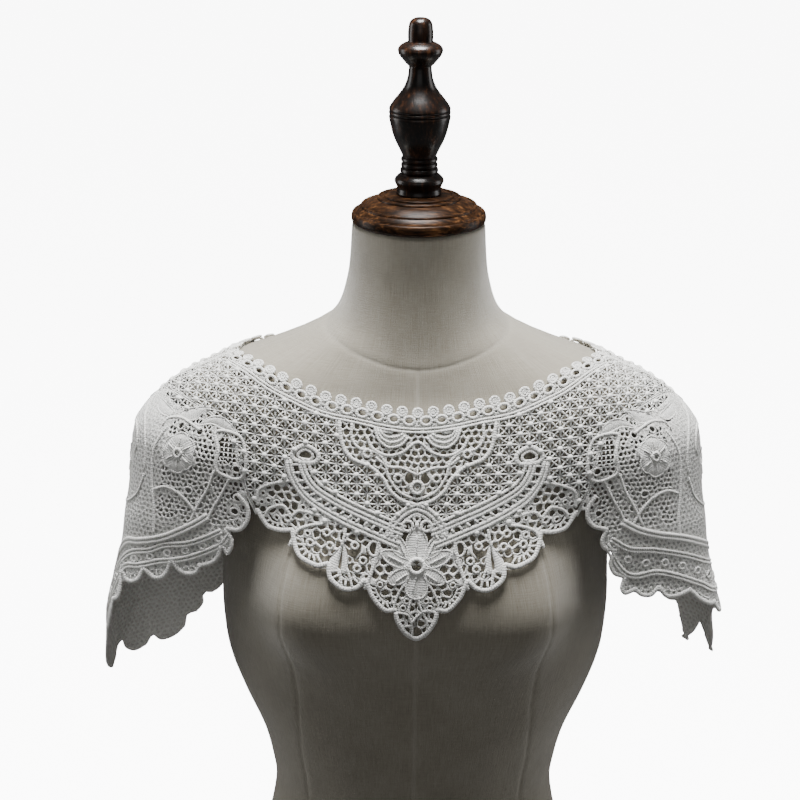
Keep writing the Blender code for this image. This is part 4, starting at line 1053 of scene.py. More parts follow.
# the yoke: pattern places of its right half, in millimetres across and up
yokeCut = {
    "neckline": (
        (0, 94.5), (24, 96.5), (48, 101.2), (72, 105), (94, 112), (112, 119), (129, 130.5), (141, 140.3), (150, 150.4),
    ),
    "necklineBack": (
        (0, 88), (24, 89.5), (48, 92), (72, 95.5), (94, 100), (112, 106), (129, 116), (141, 127), (147.5, 138),
        (150, 150.4),
    ),
    "lowerBack": 6.5,
    # rings are given as a radius or a pair of them, then the radius of their thread
    "wheels": 13, "wheelRim": (3.5, 1.25), "wheelPad": (3.1, 1.35), "wheelEye": (1.5, 0.7),
    "eyelet": ((4.3, 3.3), 1.35), "eyeletDrop": 6.7, "smallRing": (1.75, 0.85), "smallDrop": 8.3, "headerDrop": 13.8,
    "headerEnd": 154, "ridgeGap": 1.3, "ridgeStart": 147, "seamTop": 213,
    # seam to the shoulder piece, then the lower edge of the star net
    "seam": ((201, 98), (184, 89), (166, 80), (154, 70), (146, 57), (141, 39), (136, 19), (128, 2)),
    "netFoot": ((90, 20), (85, 12), (60, 2), (30, -8), (18, -9)),
    # swag: the middle line of its slots, then how far each ridge lies beside it and how thick it is
    "slots": (
        (96.5, 52), (94.6, 43), (90, 34.4), (83.4, 27.4), (74.6, 21.9), (64.5, 16.8), (53.5, 11.6), (42.6, 7),
        (32, 2.6), (22, -1.5), (13, -5),
    ),
    "slotRidges": ((3.6, 1.7), (6.9, 1.7), (-3.6, 1.65), (-6.9, 1.65), (-11, 1.35)),
    "loop": ((95.8, 51.9), (98.2, 57.8), (88.6, 64.7), (78.3, 59.7), (80.6, 52.3)),
    # medallion under the middle of the header; its cords have a radius and a height
    "medallionOuter": (
        (61.5, 86.5), (61, 80.7), (58.5, 67.5), (51.4, 57.6), (37.2, 51.9), (26.9, 42.8), (21.4, 33.4), (11.9, 25.8),
        (4, 23.5), (0, 22),
    ),
    "medallionInner": (
        (51.6, 86), (51.5, 73.3), (45.1, 65.7), (32.5, 63), (25.4, 55.4), (22.5, 44), (15, 33.5), (7, 29), (0, 27),
    ),
    "crescent": (
        (33.4, 81.8), (31, 74.1), (25.5, 68.7), (20, 67.3), (12.2, 69.9), (7.5, 75.4), (10.7, 80.1), (20.1, 77.5),
        (27.9, 78.9),
    ),
    "crescentCord": ((40, 76), (36, 67), (28, 62), (20, 61), (11, 64), (4, 70), (0, 72)),
    "ogee": ((32.5, 59.1), (23, 52.3), (13.6, 51.8), (5.8, 48.8), (1.1, 46.5)),
    "medallionCords": (("medallionInner", 1.15), ("crescentCord", 1.45, 1), ("ogee", 1.15)),
    "medallionHoles": ((6.3, 43.4, (3.6, 4.6)), (0, 36.2, (5, 5)), (39, 62, (3.3, 3.3)), (15, 43.2, (3.3, 3.3))),
    "medallionTop": 61,
    "medallionWeb": {"low": (-64, 16), "high": (64, 96), "cell": 5.6, "seed": 11, "web": 0.9, "jitter": 0.22},
    "crown": (20.5, 80.5), "eye": (6.3, 43.4), "hub": (0, 36.2),
    # arch over the flower
    "arch": ((20.6, -4.5), (19.6, 3.3), (14.9, 9.8), (7.9, 16.3), (0, 19.6)),
    "archInner": ((14.6, -3), (13.4, 3), (10, 8.6), (5, 13), (0, 15.4)), "archHole": (7.4, 5.6),
    "archRing": (4.1, 1.4), "archBars": (((5.4, 1.8), (9.6, 1.6)), ((6.8, 6.4), (8.4, 6.2))), "archTop": (0, 11.4),
    "archTopRing": ((2.4, 2.6), 1.2), "archPost": ((0, 3), (0, 9.4)),
    # flower at the middle; the upper and lower petals stand across it
    "flower": (0, -26), "flowerRing": (5.6, 1.75), "petalGrow": 1.17,
    "petals": (
        ((6.8, -22.6), (13.2, -16.4), (21, -14.3), (26.6, -16.1), (24.2, -21.5), (18.6, -25.3), (11.5, -26.7)),
        ((6.8, -18.6), (10.1, -8.4), (15.6, -3), (20.3, -6.3), (17.9, -14.2), (11.6, -18.8)),
        ((6.8, -28.9), (14.6, -29.9), (20.9, -35.7), (19.3, -40.5), (11.4, -39.4), (5.9, -33.7)),
    ),
    "middlePetals": (
        ((-5, -19), (-7.2, -12), (-6.9, -4.6), (-3.4, 1.2), (0, 3.4), (3.4, 1.2), (6.9, -4.6), (7.2, -12), (5, -19)),
        ((-4.6, -32.6), (-7.4, -39.5), (-7.2, -46.8), (-3.2, -51), (3.2, -51), (7.2, -46.8), (7.4, -39.5),
         (4.6, -32.6)),
    ),
    # fringe between swag and hem
    "arcs": (
        ((127, 10), (126, 22.3), (117, 28.9), (104.7, 33.4), (97.5, 34.5), (92, 26)),
        ((120.6, 2.2), (117.2, 8.7), (106.5, 13.4), (99.2, 6.7), (92.6, 12), (76.5, 10.5)),
        ((100.7, -17.6), (94.2, -4.3), (84.5, 1.5), (72.5, 4.6)),
    ),
    "pillar": ((29.8, -6.6), (31.3, -16.2), (35.1, -30.6), (40.6, -45.2)),
    "fringeLeaves": (
        ((58.6, -10), (63.2, -16.8), (67.8, -21.6), (69.4, -27), (68, -33), (64.4, -33.6), (62, -30), (61, -24),
         (59.2, -17)),
        ((57.6, -11), (58.6, -18), (59, -25), (60, -32), (57.4, -33.8), (54.2, -31.6), (54.4, -24), (55.2, -16)),
    ),
    "leafCords": (
        ((60.6, -31), (60, -37), (59, -45)),
        ((54.6, -30), (52.6, -37), (50.6, -45)),
        ((59, -12), (57, -4), (56, 2)),
    ),
    "fringeTop": ((20, -12), (0, -20)), "fringeTip": (0, -88), "fringeSide": 92, "swagEdge": 9.5,
    "fringeWeb": {
        "low": (0, -90), "high": (130, 34), "cell": 7.2, "seed": 23, "web": 1, "rings": 0.14, "ringSize": 2.1,
    },
    "fringeHoles": (((33.7, -13.1), (4.4, 5.8)), ((47.8, -18.3), (4.6, 3.6))),
    "fringeRings": (
        (48.7, -11.2, 2.6), (47, -29.3, 2.9), (42.3, -22.9, 2.2), (70.9, -2.3, 2.8), (68.4, -12.4, 2.8),
        (84, -12, 2.6), (102, 4, 2.4),
    ),
    # each scallop starts where the one before it ends; the first cord of the tip is mirrored
    "scallops": (
        ((128, 3), (124, -3), (119, -8), (109, -9), (100, -7)),
        ((98, -17), (94, -25), (86, -29), (78, -31), (71, -29)),
        ((70, -38), (63, -45), (55, -48), (46, -46), (41, -41)),
        ((37, -51.5), (30, -60.6), (24, -64.6), (18, -64)),
        ((17.2, -70), (13.8, -77), (8.4, -84), (0, -88.4)),
    ),
    "scallopBars": (5, 7, 6, 6),
    "tipCords": (
        ((9, -40), (13.4, -47), (16.6, -55), (18, -63)),
        ((-3, -50), (-5.4, -58), (-5.8, -66), (-3.6, -73), (-3, -80), (-3.4, -86)),
        ((1.6, -50), (2.6, -57), (4.6, -63), (8, -70), (9, -78), (7, -85)),
        ((-5.8, -66), (-11, -64.4), (-17, -64.6)),
        ((4.6, -63), (10.4, -62.4), (17.4, -64.4)),
        ((4.6, -63), (0.6, -67), (-3.4, -72.6)),
        ((8.4, -71), (12.4, -71.6), (16, -72.6)),
        ((-4, -75), (-9, -75.6), (-13.6, -77)),
    ),
}


# the back's medallion and swag hang lower, with its neckline
def lowered(points, drop, start=5.0):
    p = np.array(points, float)
    p[:, 1] -= drop * np.clip((p[:, 1] - start) / 20.0, 0.0, 1.0)
    return p


# the seam between yoke and shoulder piece, from the shoulder ridge down
def seamEdge(wrap, shift):
    top = yokeCut["seamTop"]
    return shifted(smoothLine([(top, wrap.ridge(top) - 1.0), *yokeCut["seam"]]), shift)


# a row of wheels over a row of eyelets and a double cord
def neckEdge(work, half, header):
    cut = yokeCut
    run = runLength(half)

    # places, ways down and turns at numbered wheels of the neckline
    def along(numbers):
        at = np.asarray(numbers) / (cut["wheels"] + 0.5) * run[-1]
        p, q, r = (np.stack([np.interp(np.clip(at + d, 0.0, run[-1]), run, half[:, k]) for k in (0, 1)], -1)
                   for d in (0.0, 1.5, -1.5))
        d = (q - r) / np.linalg.norm(q - r, axis=1, keepdims=True)
        return p, np.stack([d[:, 1], -d[:, 0]], -1), np.degrees(np.arctan2(d[:, 1], d[:, 0]))

    wheels, down, _ = along(np.arange(cut["wheels"] + 1))
    small = wheels + cut["smallDrop"] * down
    joins, down, joinTurns = along(np.arange(cut["wheels"]) + 0.5)
    eyelets = joins + cut["eyeletDrop"] * down
    # each half is worked in turn
    for work.hand in (1, -1):
        first = 0 if work.hand > 0 else 1  # the middle wheel is worked once
        work.rings(wheels[first:], *cut["wheelRim"])
        work.knobs(wheels[first:], *cut["wheelPad"], sides=12, rise=0.3)
        work.rings(wheels[first:], *cut["wheelEye"], parts=10, sides=5, rise=0.8)
        work.rings(eyelets, *cut["eyelet"], turns=joinTurns)
        work.rings(small[first:-1], *cut["smallRing"], parts=8, sides=5, rise=0.1)
        work.sticks(wheels[first:], small[first:], 0.9)
    work.hand = 1
    for shift in (1.35, -1.35):
        work.cord(header, 1.15, smooth=False, shift=shift)
    work.cord(header, 0.8, sides=5, smooth=False, shift=3.6)


# satin ridges beside a row of slots, and the loop at its upper end
def swag(work, slots, loop):
    cut = yokeCut
    for shift, thick in cut["slotRidges"]:
        work.cord(slots, thick, 1.15, sides=7, shift=shift)
    work.ladder(shifted(slots, 2.5), shifted(slots, -2.5), 1.2, pitch=6.6, sides=5, rise=0.1)
    work.ladder(shifted(slots, -8.0), shifted(slots, -10.2), 0.85, pitch=5.2, sides=5)
    work.cord(loop, 2.0, 1.1, sides=7, loop=True)
    work.cord(grown(loop, 0.58), 1.3, 0.9, loop=True)


# medallion under the middle of the header
def medallion(work, header, outer, drop):
    cut = yokeCut
    crescent = lowered(cut["crescent"], drop)
    top = header[np.abs(header[:, 0]) < cut["medallionTop"]]
    holes = [crescent] + [ovalLoop((u, v - drop), *size) for u, v, size in cut["medallionHoles"]]
    body = np.concatenate([top, outer[:-1], flip(outer[::-1])])
    webNet(work, keeper(body, holes + [flip(hole) for hole in holes]), **cut["medallionWeb"])
    crown = np.array(cut["crown"]) - (0, drop)
    for work.hand in (1, -1):
        work.cord(outer, 1.6, 1.1, sides=7)
        work.padded(crescent, height=1.3)
        for f, thick in ((1.0, 1.2), (0.7, 1.15), (0.4, 1.0)):
            work.cord(crown + (crescent[:6] - crown) * (0.5 + 0.5 * f, f), thick, rise=0.5)
        for name, *size in cut["medallionCords"]:
            work.cord(lowered(cut[name], drop), *size)
        work.rings([(u, v - drop) for u, v, _ in cut["medallionHoles"][2:]], 2.9, 1.2, parts=12, rise=0.2)
        work.cord(ovalLoop(cut["eye"] - np.array((0, drop)), 4.2, 5.2), 0.9, sides=5, loop=True)
    work.hand = 1
    u, v = cut["hub"]
    work.rings([(u, v - drop)], 4.6, 1.5, parts=16, rise=0.2)
    work.rings([(u, v - drop)], 1.9, 0.95, parts=10, sides=5)
    work.sticks([(u, v + 5.8 - drop)], [(u, v + 15.8 - drop)], 0.9)


# arch and the large flower at the middle of the front
def archAndFlower(work, arch, petals, middlePetals):
    cut = yokeCut

    def petalWork(petal):
        work.padded(petal, height=1.35, rise=0.2, rows=(1.0, 0.94, 0.72, 0.4, 0.1))
        work.cord(grown(smoothLine(petal, loop=True), 0.95), 0.8, loop=True, smooth=False, rise=0.55)
        start = petal[[0, -1]].mean(0)
        reach = petal[np.argmax(np.linalg.norm(petal - start, axis=1))]
        work.cord([start + (reach - start) * f for f in (0.15, 0.45, 0.72)], 0.7, sides=5, rise=1.3)

    for work.hand in (1, -1):
        for shift in (0.6, -2.9):
            work.cord(arch, 1.75, 1.15, sides=7, shift=shift)
        work.cord(cut["archInner"], 1.6, 1.0)
        work.rings([cut["archHole"]], *cut["archRing"], parts=16)
        work.sticks(*cut["archBars"], 0.65)
        for petal in petals:
            petalWork(petal)
    work.hand = 1
    work.rings([cut["archTop"]], *cut["archTopRing"], parts=12)
    work.sticks(*cut["archPost"], 1.5, sides=5)
    for petal in middlePetals:
        petalWork(petal)
    work.rings([cut["flower"]], *cut["flowerRing"], parts=20, sides=7, rise=0.5)


# fringe between the swag and the scalloped hem
def fringe(work, slots, arcs, petals):
    cut = yokeCut
    paths = chained(cut["scallops"])
    side = shifted(slots, -cut["swagEdge"])
    hem = np.concatenate([path[:-1] for path in paths] + [[cut["fringeTip"]]])
    region = np.concatenate([arcs[0][:-1], side[side[:, 0] < cut["fringeSide"]], cut["fringeTop"], hem[::-1]])
    rings = np.array(cut["fringeRings"])
    openings = [ovalLoop(place, *size) for place, size in cut["fringeHoles"]]
    openings += [ovalLoop((u, v), r + 0.8, r + 0.8) for u, v, r in rings]
    openings += [smoothLine(petal, 2.0, True) for petal in petals] + list(cut["fringeLeaves"])
    for path in paths[:4]:
        edge, inner = scallopLines(path, -1)
        openings.append(np.concatenate([edge, inner[::-1]]))
    keep = keeper(region, openings)
    for work.hand in (1, -1):
        webNet(work, keep, **cut["fringeWeb"])
        work.rings(rings[:, :2], 2.6, 1.1, parts=12, rise=0.2)
        place, size = cut["fringeHoles"][0]
        work.rings([place], size, 1.2)
        for leaf in cut["fringeLeaves"]:
            work.padded(leaf, height=1.7)
        for line in cut["leafCords"]:
            work.cord(line, 1.2)
        work.cord(cut["pillar"], 1.7, 1.0)
        for line in arcs:
            work.cord(line, 1.5, 1.0)
        for path, bars in zip(paths, cut["scallopBars"]):
            scallop(work, path, -1, bars, 1.0)
    work.hand = 1
    tip = np.concatenate([paths[4], flip(paths[4][-2::-1])])
    work.cord(tip, 2.1, 1.2, sides=8, shift=-scallopCut["rim"])
    for line in (*cut["tipCords"], flip(cut["tipCords"][0])):
        work.cord(line, 1.15)


def yokeLace(wrap, neckline, drop):
    cut = yokeCut
    work = threadWork(wrap)
    half = np.array(neckline, float)
    header = shifted(smoothLine(np.concatenate([flip(half[:0:-1]), half])), -cut["headerDrop"])
    header = header[np.abs(header[:, 0]) < cut["headerEnd"]]
    neckEdge(work, half, header)

    # a cord follows the shoulder ridge a little in front of it
    us = np.append(np.arange(cut["ridgeStart"], cut["seamTop"] - 1.0, 3.0), cut["seamTop"])
    vs = np.array([wrap.ridge(u) for u in us]) - cut["ridgeGap"]
    face = np.sign(wrap.carry(np.array([(us[0], vs[0] - 10.0, 0.0)]))[0, 1])
    for _ in range(5):
        vs += wrap.carry(np.column_stack([us, vs, 0 * us]))[:, 1] * face - cut["ridgeGap"]
    ridgeLine = np.column_stack([us, vs])

    # star net between the header, the seam, the swag and the medallion
    seam = seamEdge(wrap, -0.85)
    slots = smoothLine(lowered(cut["slots"], drop, 0.0))
    loop, outer, arch = (lowered(cut[name], drop) for name in ("loop", "medallionOuter", "arch"))
    arcs = [lowered(line, drop) for line in cut["arcs"]]
    region = np.concatenate([header[header[:, 0] > outer[0, 0]], ridgeLine[1:], seam[1:][seam[1:, 1] > 13.0],
                             arcs[0][:-1], cut["netFoot"], arch[1:], outer[::-1]])
    swagBody = np.concatenate([shifted(slots, 7.4), shifted(slots, -11.0)[::-1]])
    keep = keeper(region, (swagBody, smoothLine(loop, 2.0, True)))
    for work.hand in (1, -1):
        work.cord(ridgeLine, 1.15)
        work.cord(seam, 0.68, smooth=False)
        starNet(work, keep, (0.0, -12.0), (216.0, wrap.ridge(160.0) + 4.0), 1.07)
        swag(work, slots, loop)
    work.hand = 1
    petals, middlePetals = ([grown(np.array(petal), cut["petalGrow"]) for petal in cut[name]]
                            for name in ("petals", "middlePetals"))
    medallion(work, header, outer, drop)
    archAndFlower(work, arch, petals, middlePetals)
    fringe(work, slots, arcs, petals + middlePetals)
    return work


laceFront = yokeLace(frontWrap, yokeCut["neckline"], 0.0).finish("laceFront", lace)
laceBack = yokeLace(backWrap, yokeCut["necklineBack"], yokeCut["lowerBack"]).finish("laceBack", lace)

# the shoulder points: places around and up from the outermost line of each shoulder, front below zero
shoulderCut = {
    "leafLine": ((0, 38, 66, 104, 126, 140, 146, 150, 166), (108, 106, 101, 104, 97, 86, 70, 50, 44)),
    "starReach": 206,
    "sideFlower": {
        "centre": (-82, 64.5), "turns": (90, 30, -30, -90, -150, 150), "reach": 17.5, "half": 8.2, "ring": 3.4,
    },
    "middleFlower": {
        "centre": (0, 44), "turns": (90, 135, 180, 225, 270, 315, 360, 405), "reach": 22, "half": 5.6, "ring": 5,
    },
    "leaves": (
        ((-64.3, 93.1), (-69.1, 101.2), (-85, 104.7), (-103.9, 105.4), (-96.9, 100.8), (-88.3, 93.5), (-76.6, 92.4)),
        ((-96.5, 89.7), (-102.8, 96.2), (-116.6, 98.7), (-128.7, 94.8), (-138, 86.1), (-124.5, 88), (-109.3, 91.6)),
        ((-28, 106), (-44, 103), (-58, 98), (-52, 93), (-38, 95), (-27, 100)),
    ),
    "leafCord": ((-54.5, 84.8), (-57.2, 92.1), (-71.5, 93.9), (-87.1, 89.8), (-98.5, 85.6)),
    "bar": (
        (-116.9, 86), (-120.4, 71.4), (-119.5, 56), (-126.7, 51.3), (-138, 49.4), (-145.5, 55), (-146, 72),
        (-139.5, 85),
    ),
    "insert": ((-122, 84), (-137, 84.5), (-143, 73.8), (-143.5, 63), (-123, 64)), "mesh": 4,
    "holes": (
        (-99.2, 84, 4.6, 3.4), (-138, 57.5, 4.6, 2.6), (-76.5, 87.2, 5, 2.6), (-105.1, 22.9, 4.2, 3.4),
        (-138.9, 33.1, 5, 4), (-136, 21.3, 4.6, 3.4), (-112, 40, 3.6, 3), (-94, 34, 3.4, 2.8),
    ),
    "rib": ((-61, 84), (-55, 62), (-56, 38), (-62, 12), (-64, -8)),
    "sprays": (
        ((-60, 30), (-72, 34), (-86, 30), (-98, 20), (-106, 8)),
        ((-118, 54), (-112, 38), (-104, 24), (-97, 8)),
        ((-132, 50), (-124, 34), (-116, 20), (-112, 10)),
    ),
    "middleSprays": (
        ((0, 106), (-9, 96), (-20, 88), (-34, 78), (-44, 62), (-46, 44)),
        ((0, 72), (-12, 76), (-24, 72), (-30, 62), (-27, 54)),
        ((-46, 40), (-40, 22), (-26, 10), (-12, 5.6), (0, 5)),
    ),
    "ringPitch": 15.5, "openWork": (6, -66),
    "web": {"cell": 4.5, "web": 1.05, "height": 0.66, "jitter": 0.3},
}
leftCut = {
    "scallops": (
        ((-142, 36), (-149, 28), (-150, 18), (-146, 9), (-139, 4), (-131, 4)),
        ((-135, -3), (-134, -12), (-129, -18), (-125, -12)),
        ((-123, -20), (-117, -27), (-107, -31)),
        ((-104, -37), (-96, -40), (-88, -38), (-81.5, -31)),
        ((-79, -41), (-73, -47.5), (-66, -48), (-58, -43)),
        ((-55, -52), (-48, -57), (-41, -57), (-36, -52)),
        ((-38, -62), (-38, -74), (-32, -80)),
        ((-31, -94), (-28, -106), (-22, -111)),
        ((-22, -126), (-16, -142), (-8, -156), (2, -164), (9, -158), (13, -148), (20, -147)),
        ((24, -158), (33, -165), (43, -163), (49, -155)),
        ((56, -163), (67, -162), (76, -154), (78, -142)),
        ((86, -141), (92, -133), (91, -122)),
        ((99, -124), (107, -119), (112, -108)),
        ((121, -98), (126, -84), (126, -72)),
        ((135, -58), (139, -42), (137, -28)),
        ((146, -12), (150, 8), (146, 30)),
    ),
    "solidBand": (
        (-112, 14), (-101, 6.1), (-88, -1.9), (-74.6, -9.4), (-60.7, -14.8), (-48.6, -18.8), (-34, -24), (-18, -44),
        (-6, -70), (8, -96), (26, -110), (46, -108), (64, -94), (84, -66), (102, -30), (116, 6),
    ),
    "bandOne": (
        (-124, 3), (-118.7, -0.3), (-105.7, -7.3), (-92.6, -12.6), (-74.8, -16.4), (-61.2, -23.6), (-42, -31),
        (-28, -48), (-16, -78), (0, -110), (22, -124), (46, -122), (66, -108), (90, -78), (108, -40), (124, -2),
    ),
    "bandTwo": (
        (-131.7, 1), (-124.7, -8.5), (-110, -17.3), (-97, -23.5), (-84, -28.1), (-70.9, -31.3), (-53.1, -39),
        (-37, -46), (-28, -70), (-18, -98), (-6, -126), (16, -140), (44, -143), (68, -134), (88, -112), (106, -94),
        (122, -62), (136, -18),
    ),
    "seed": 31,
}
rightCut = {
    "scallops": (
        ((-142, 36), (-147, 28), (-147, 18), (-141, 10), (-131, 6)),
        ((-134, -2), (-131, -10), (-123, -13)),
        ((-126, -23), (-122, -33), (-114, -37)),
        ((-116, -46), (-112, -52), (-104, -50)),
        ((-98, -55), (-90, -56), (-84, -51)),
        ((-78, -59), (-68, -60), (-58, -58)),
        ((-50, -68), (-40, -76), (-34, -78)),
        ((-28, -88), (-16, -93), (-6, -87)),
        ((4, -95), (8, -112), (6, -132), (10, -148)),
        ((17, -140), (25, -128)),
        ((32, -142), (40, -152)),
        ((44, -136), (48, -117)),
        ((56, -118), (63, -110), (64, -98)),
        ((74, -100), (83, -94), (86, -84)),
        ((96, -86), (106, -80), (109, -68)),
        ((119, -66), (127, -56), (128, -42)),
        ((137, -34), (142, -18), (138, -4)),
        ((147, 6), (149, 20), (145, 32)),
    ),
    "solidBand": (
        (-114, 12), (-101, 4), (-85, -2), (-58, -10), (-30, -24), (-5, -38), (20, -50), (45, -58), (66, -54),
        (88, -40), (106, -16), (118, 8),
    ),
    "bandOne": (
        (-124, -2), (-108, -12), (-85, -16), (-58, -25), (-32, -39), (-6, -52), (20, -66), (46, -74), (68, -67),
        (91, -50), (110, -26), (124, -2),
    ),
    "bandTwo": (
        (-128, -6), (-116, -28), (-104, -36), (-85, -35), (-66, -42), (-46, -54), (-30, -66), (-6, -74), (14, -86),
        (34, -96), (56, -94), (78, -80), (100, -62), (120, -36), (134, -8),
    ),
    "tips": ((10, -148), (40, -152)), "seed": 47,
}


def petalLoop(centre, turn, reach, half, inner):
    a = math.radians(turn)
    way = np.array((math.cos(a), math.sin(a)))
    side = np.array((-way[1], way[0]))
    rows = [(0, 0.35), (0.28, 0.82), (0.6, 1), (0.87, 0.72), (1, 0)]
    rows += [(f, -w) for f, w in rows[3::-1]]
    return np.array([np.array(centre) + way * (inner + (reach - inner) * f) + side * half * w for f, w in rows])


def flowerLoops(flower):
    size = flower["reach"], flower["half"], flower["ring"]
    return [petalLoop(flower["centre"], turn, *size) for turn in flower["turns"]]


def sewnFlower(work, flower):
    centre = np.array(flower["centre"])
    for petal in flowerLoops(flower):
        work.padded(petal, height=1.5, rise=0.15)
        work.cord(grown(petal, 0.94), 0.8, loop=True, rise=0.3)
        work.cord([centre + (petal.mean(0) - centre) * f for f in (0.6, 0.9, 1.25)], 0.65, sides=5, rise=1.3)
    work.rings([centre], flower["ring"], 1.35, rise=0.5)


def shoulderLace(hand, wrap, cut):
    common = shoulderCut
    work = threadWork(wrap)
    reach = common["starReach"]

    def leafLine(around):
        return np.interp(np.abs(around), *common["leafLine"])

    seams = []
    for yoke in (frontWrap, backWrap):
        work.wrap, work.hand = yoke, hand
        edge = seamEdge(yoke, 0.85)

        # where places of the yoke's pattern lie in the shoulder's
        def onShoulder(points):
            return hangPlaces(wrap, hand, yoke.carry(np.column_stack([points * (hand, 1), np.zeros(len(points))])))
        seams.append(onShoulder(edge))
        work.cord(edge, 0.68, smooth=False)

        # star net above the leaves, in line with the yoke's
        crossed = edge[edge[:, 0] < reach]
        inArea = keeper([(reach, crossed[0, 1]), *crossed, (126.0, -60.0), (reach, -60.0)])

        def above(points):
            good = inArea(points)
            if good.any():
                q = onShoulder(points)
                good &= q[:, 1] > leafLine(q[:, 0]) - 2.0
            return good
        starNet(work, above, (124.0, -30.0), (reach + 4.0, 110.0))
    work.wrap, work.hand = wrap, 1

    # the whole piece in its own places, without the motifs that are laid in
    paths = chained(cut["scallops"])
    hem = np.array([p for path in paths for p in path[:-1]] + [paths[-1][-1]])
    outline = np.concatenate([seams[0], hem, seams[1][::-1]])
    motifs = [*common["leaves"], common["insert"], *flowerLoops(common["sideFlower"])]
    motifs += [ovalLoop((u, v), a, b) for u, v, a, b in common["holes"]]
    motifs += [flip(motif) for motif in motifs] + flowerLoops(common["middleFlower"])
    inOutline = keeper(outline, motifs)

    def below(points):
        good = inOutline(points)
        if good.any():
            p = wrap.carry(np.column_stack([points, np.zeros(len(points))]))
            good &= (points[:, 1] < leafLine(points[:, 0]) + 2.5) | (np.abs(p[:, 0]) > reach - 1.0)
        return good

    # open work beside the body, closed work round the shoulder and at the point
    def fill(places):
        openAbove, openBefore = common["openWork"]
        return np.where((places[:, 1] < openAbove) | (places[:, 0] > openBefore), 1.0, 0.2)
    webNet(work, below, outline.min(0), outline.max(0), seed=cut["seed"], closed=fill, rounded=False, **common["web"])

    # leaves, flowers and cords
    span = np.arange(-150.0, 151.0, common["mesh"])
    grid = np.array([(u, v) for u in span for v in span])
    inInsert = keeper(common["insert"])
    for work.hand in (1, -1):
        for leaf in common["leaves"]:
            work.padded(leaf, height=1.5)
            work.cord(grown(np.array(leaf), 0.95), 0.8, loop=True, rise=0.2)
        work.cord(common["leafCord"], 1.3)
        work.cord(common["bar"], 1.5, 1.0, loop=True)
        for axis in (0, 1):
            work.sticks(*clipped(grid, grid + np.eye(2)[axis] * common["mesh"], inInsert), 0.6, rise=0.1 * axis)
        for line in (common["rib"], *common["sprays"], *common["middleSprays"]):
            work.cord(line, 1.35, 1.0)
        sewnFlower(work, common["sideFlower"])
        work.rings([(u, v) for u, v, _, _ in common["holes"]], (3.8, 3.2), 0.95, parts=12, sides=5)
    work.hand = 1
    sewnFlower(work, common["middleFlower"])

    # bands that follow the hem, with a row of rings between the outer two
    for shift in (1.75, -1.75):
        work.cord(cut["solidBand"], 1.9, 1.2, sides=7, shift=shift)
        work.cord(cut["bandOne"], 1.25, shift=shift * 0.85)
        work.cord(cut["bandTwo"], 1.35, shift=shift * 0.85)
    rowOne, _ = spread(smoothLine(cut["bandOne"], 1.0), pitch=common["ringPitch"])
    rowTwo, _ = spread(smoothLine(cut["bandTwo"], 1.0), len(rowOne))
    work.rings((rowOne + rowTwo) / 2, 2.7, 1.1, parts=12, rise=0.15)

    # scalloped hem
    for path in paths:
        runOn = [0.15 if place in cut.get("tips", ()) else 1.0 for place in (path[0], path[-1])]
        scallop(work, path, 1, 3 if runLength(np.array(path))[-1] < 30.0 else 4, 0.9, runOn)
    return work


laceShoulderLeft = shoulderLace(-1, leftWrap, leftCut).finish("laceShoulderLeft", lace)
laceShoulderRight = shoulderLace(1, rightWrap, rightCut).finish("laceShoulderRight", lace)

# what each lace piece is, as cut before it was hung
laceSheets = {
    "laceFront": {"piece": laceFront, "node": "lace_front",
                  "flat": (0.428, 0.241), "area": 0.0486, "on": ["dressForm"]},
    "laceBack": {"piece": laceBack, "node": "lace_back",
                 "flat": (0.428, 0.247), "area": 0.0460, "on": ["dressForm"]},
    "laceShoulderLeft": {"piece": laceShoulderLeft, "node": "lace_shoulder_left",
                         "flat": (0.307, 0.280), "area": 0.0569, "on": ["laceFront", "laceBack"]},
    "laceShoulderRight": {"piece": laceShoulderRight, "node": "lace_shoulder_right",
                          "flat": (0.306, 0.267), "area": 0.0514, "on": ["laceFront", "laceBack"]},
}
for sheet in laceSheets.values():
    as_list(sheet["on"])
    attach(sheet["piece"], "root")
    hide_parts(sheet["node"])

# floor, world and lights
stage = {"floor": (0.84, 0.84, 0.835), "glow": 9.0, "underLight": 0.10, "world": 0.10, "worldGlow": 10.5}


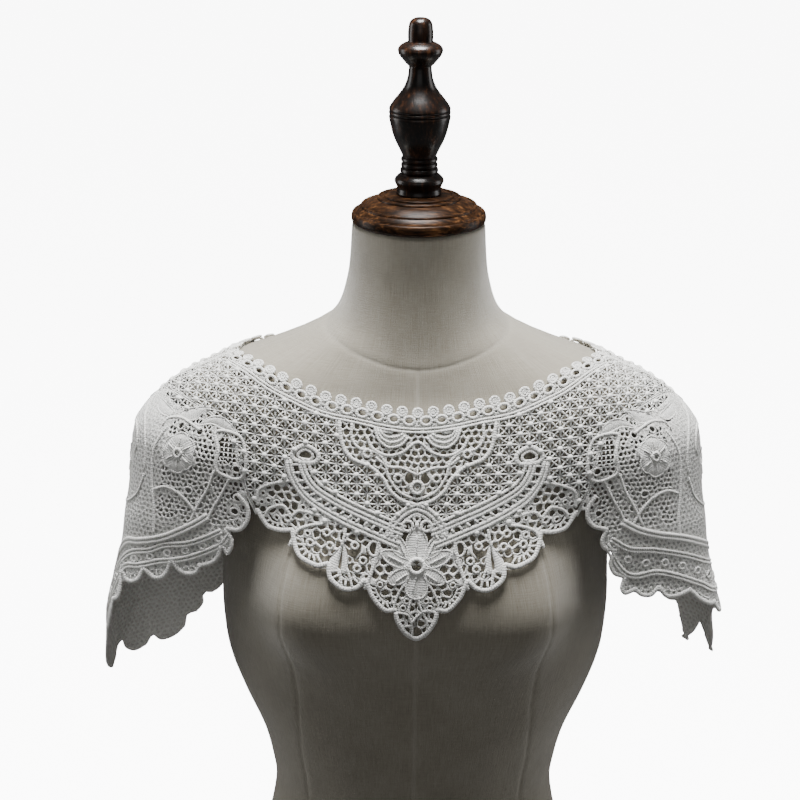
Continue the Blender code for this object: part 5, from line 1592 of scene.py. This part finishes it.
def addStage():
    bpy.ops.object.select_all(action="DESELECT")
    bpy.ops.mesh.primitive_plane_add(size=30.0, location=(0.0, 0.0, 0.0))
    floor = bpy.context.object
    floor.name = "floor"
    material = bpy.data.materials.new("floorPaper")
    tree = nodeTree(material)
    cloud = tree.noise(tree.objectPlace(), 3.0)
    tones = ((0.2, tuple(c * 0.97 for c in stage["floor"])), (0.8, stage["floor"]))
    tree.shade(Base_Color=tree.ramp(cloud, tones), Roughness=0.9, Emission_Color=(1.0, 1.0, 1.0, 1.0),
               Emission_Strength=stage["glow"])
    # the paper is bright to look at and throws little light up on to the form
    dull = tree.node("BsdfDiffuse", {"Color": (stage["underLight"],) * 3 + (1.0,)})
    seen = tree.node("LightPath").outputs["Is Camera Ray"]
    bright = tree.nodes["Principled BSDF"]
    mix = tree.node("MixShader", {0: seen, 1: dull.outputs[0], 2: bright.outputs[0]})
    tree.feed(tree.nodes["Material Output"], {"Surface": mix.outputs[0]})
    floor.data.materials.append(material)
    world = bpy.data.worlds.new("studio")
    tree = nodeTree(world)
    seen = tree.node("LightPath").outputs["Is Camera Ray"]
    glow = tree.math("MULTIPLY_ADD", seen, stage["worldGlow"] - stage["world"], stage["world"])
    tree.feed(tree.nodes["Background"], {"Color": (1.0, 1.0, 1.0, 1.0), "Strength": glow})
    bpy.context.scene.world = world


lamps = {
    "overhead": {"at": (0.0, -0.02, 2.2), "aim": (0.0, -0.04, 0.0), "size": (0.7, 0.7), "power": 101.0},
    "leftSide": {"at": (-1.5, 0.30, 0.75), "aim": (0.0, 0.0, 0.45), "size": (0.6, 1.5), "power": 10.5},
    "rightSide": {"at": (1.5, 0.30, 0.75), "aim": (0.0, 0.0, 0.45), "size": (0.6, 1.5), "power": 9.5},
    "fill": {"at": (-0.2, -1.9, 1.3), "aim": (0.0, 0.0, 0.45), "size": (1.4, 1.2), "power": 3.0},
}


def addLamps():
    for name, lamp in lamps.items():
        bpy.ops.object.light_add(type="AREA", location=lamp["at"])
        light = bpy.context.object
        light.name = name
        light.data.shape = "RECTANGLE"
        light.data.size, light.data.size_y = lamp["size"]
        light.data.energy = lamp["power"]
        aim = Vector(lamp["aim"]) - Vector(lamp["at"])
        light.rotation_euler = aim.to_track_quat("-Z", "Y").to_euler()


addStage()
addLamps()
print("floor and lights placed")
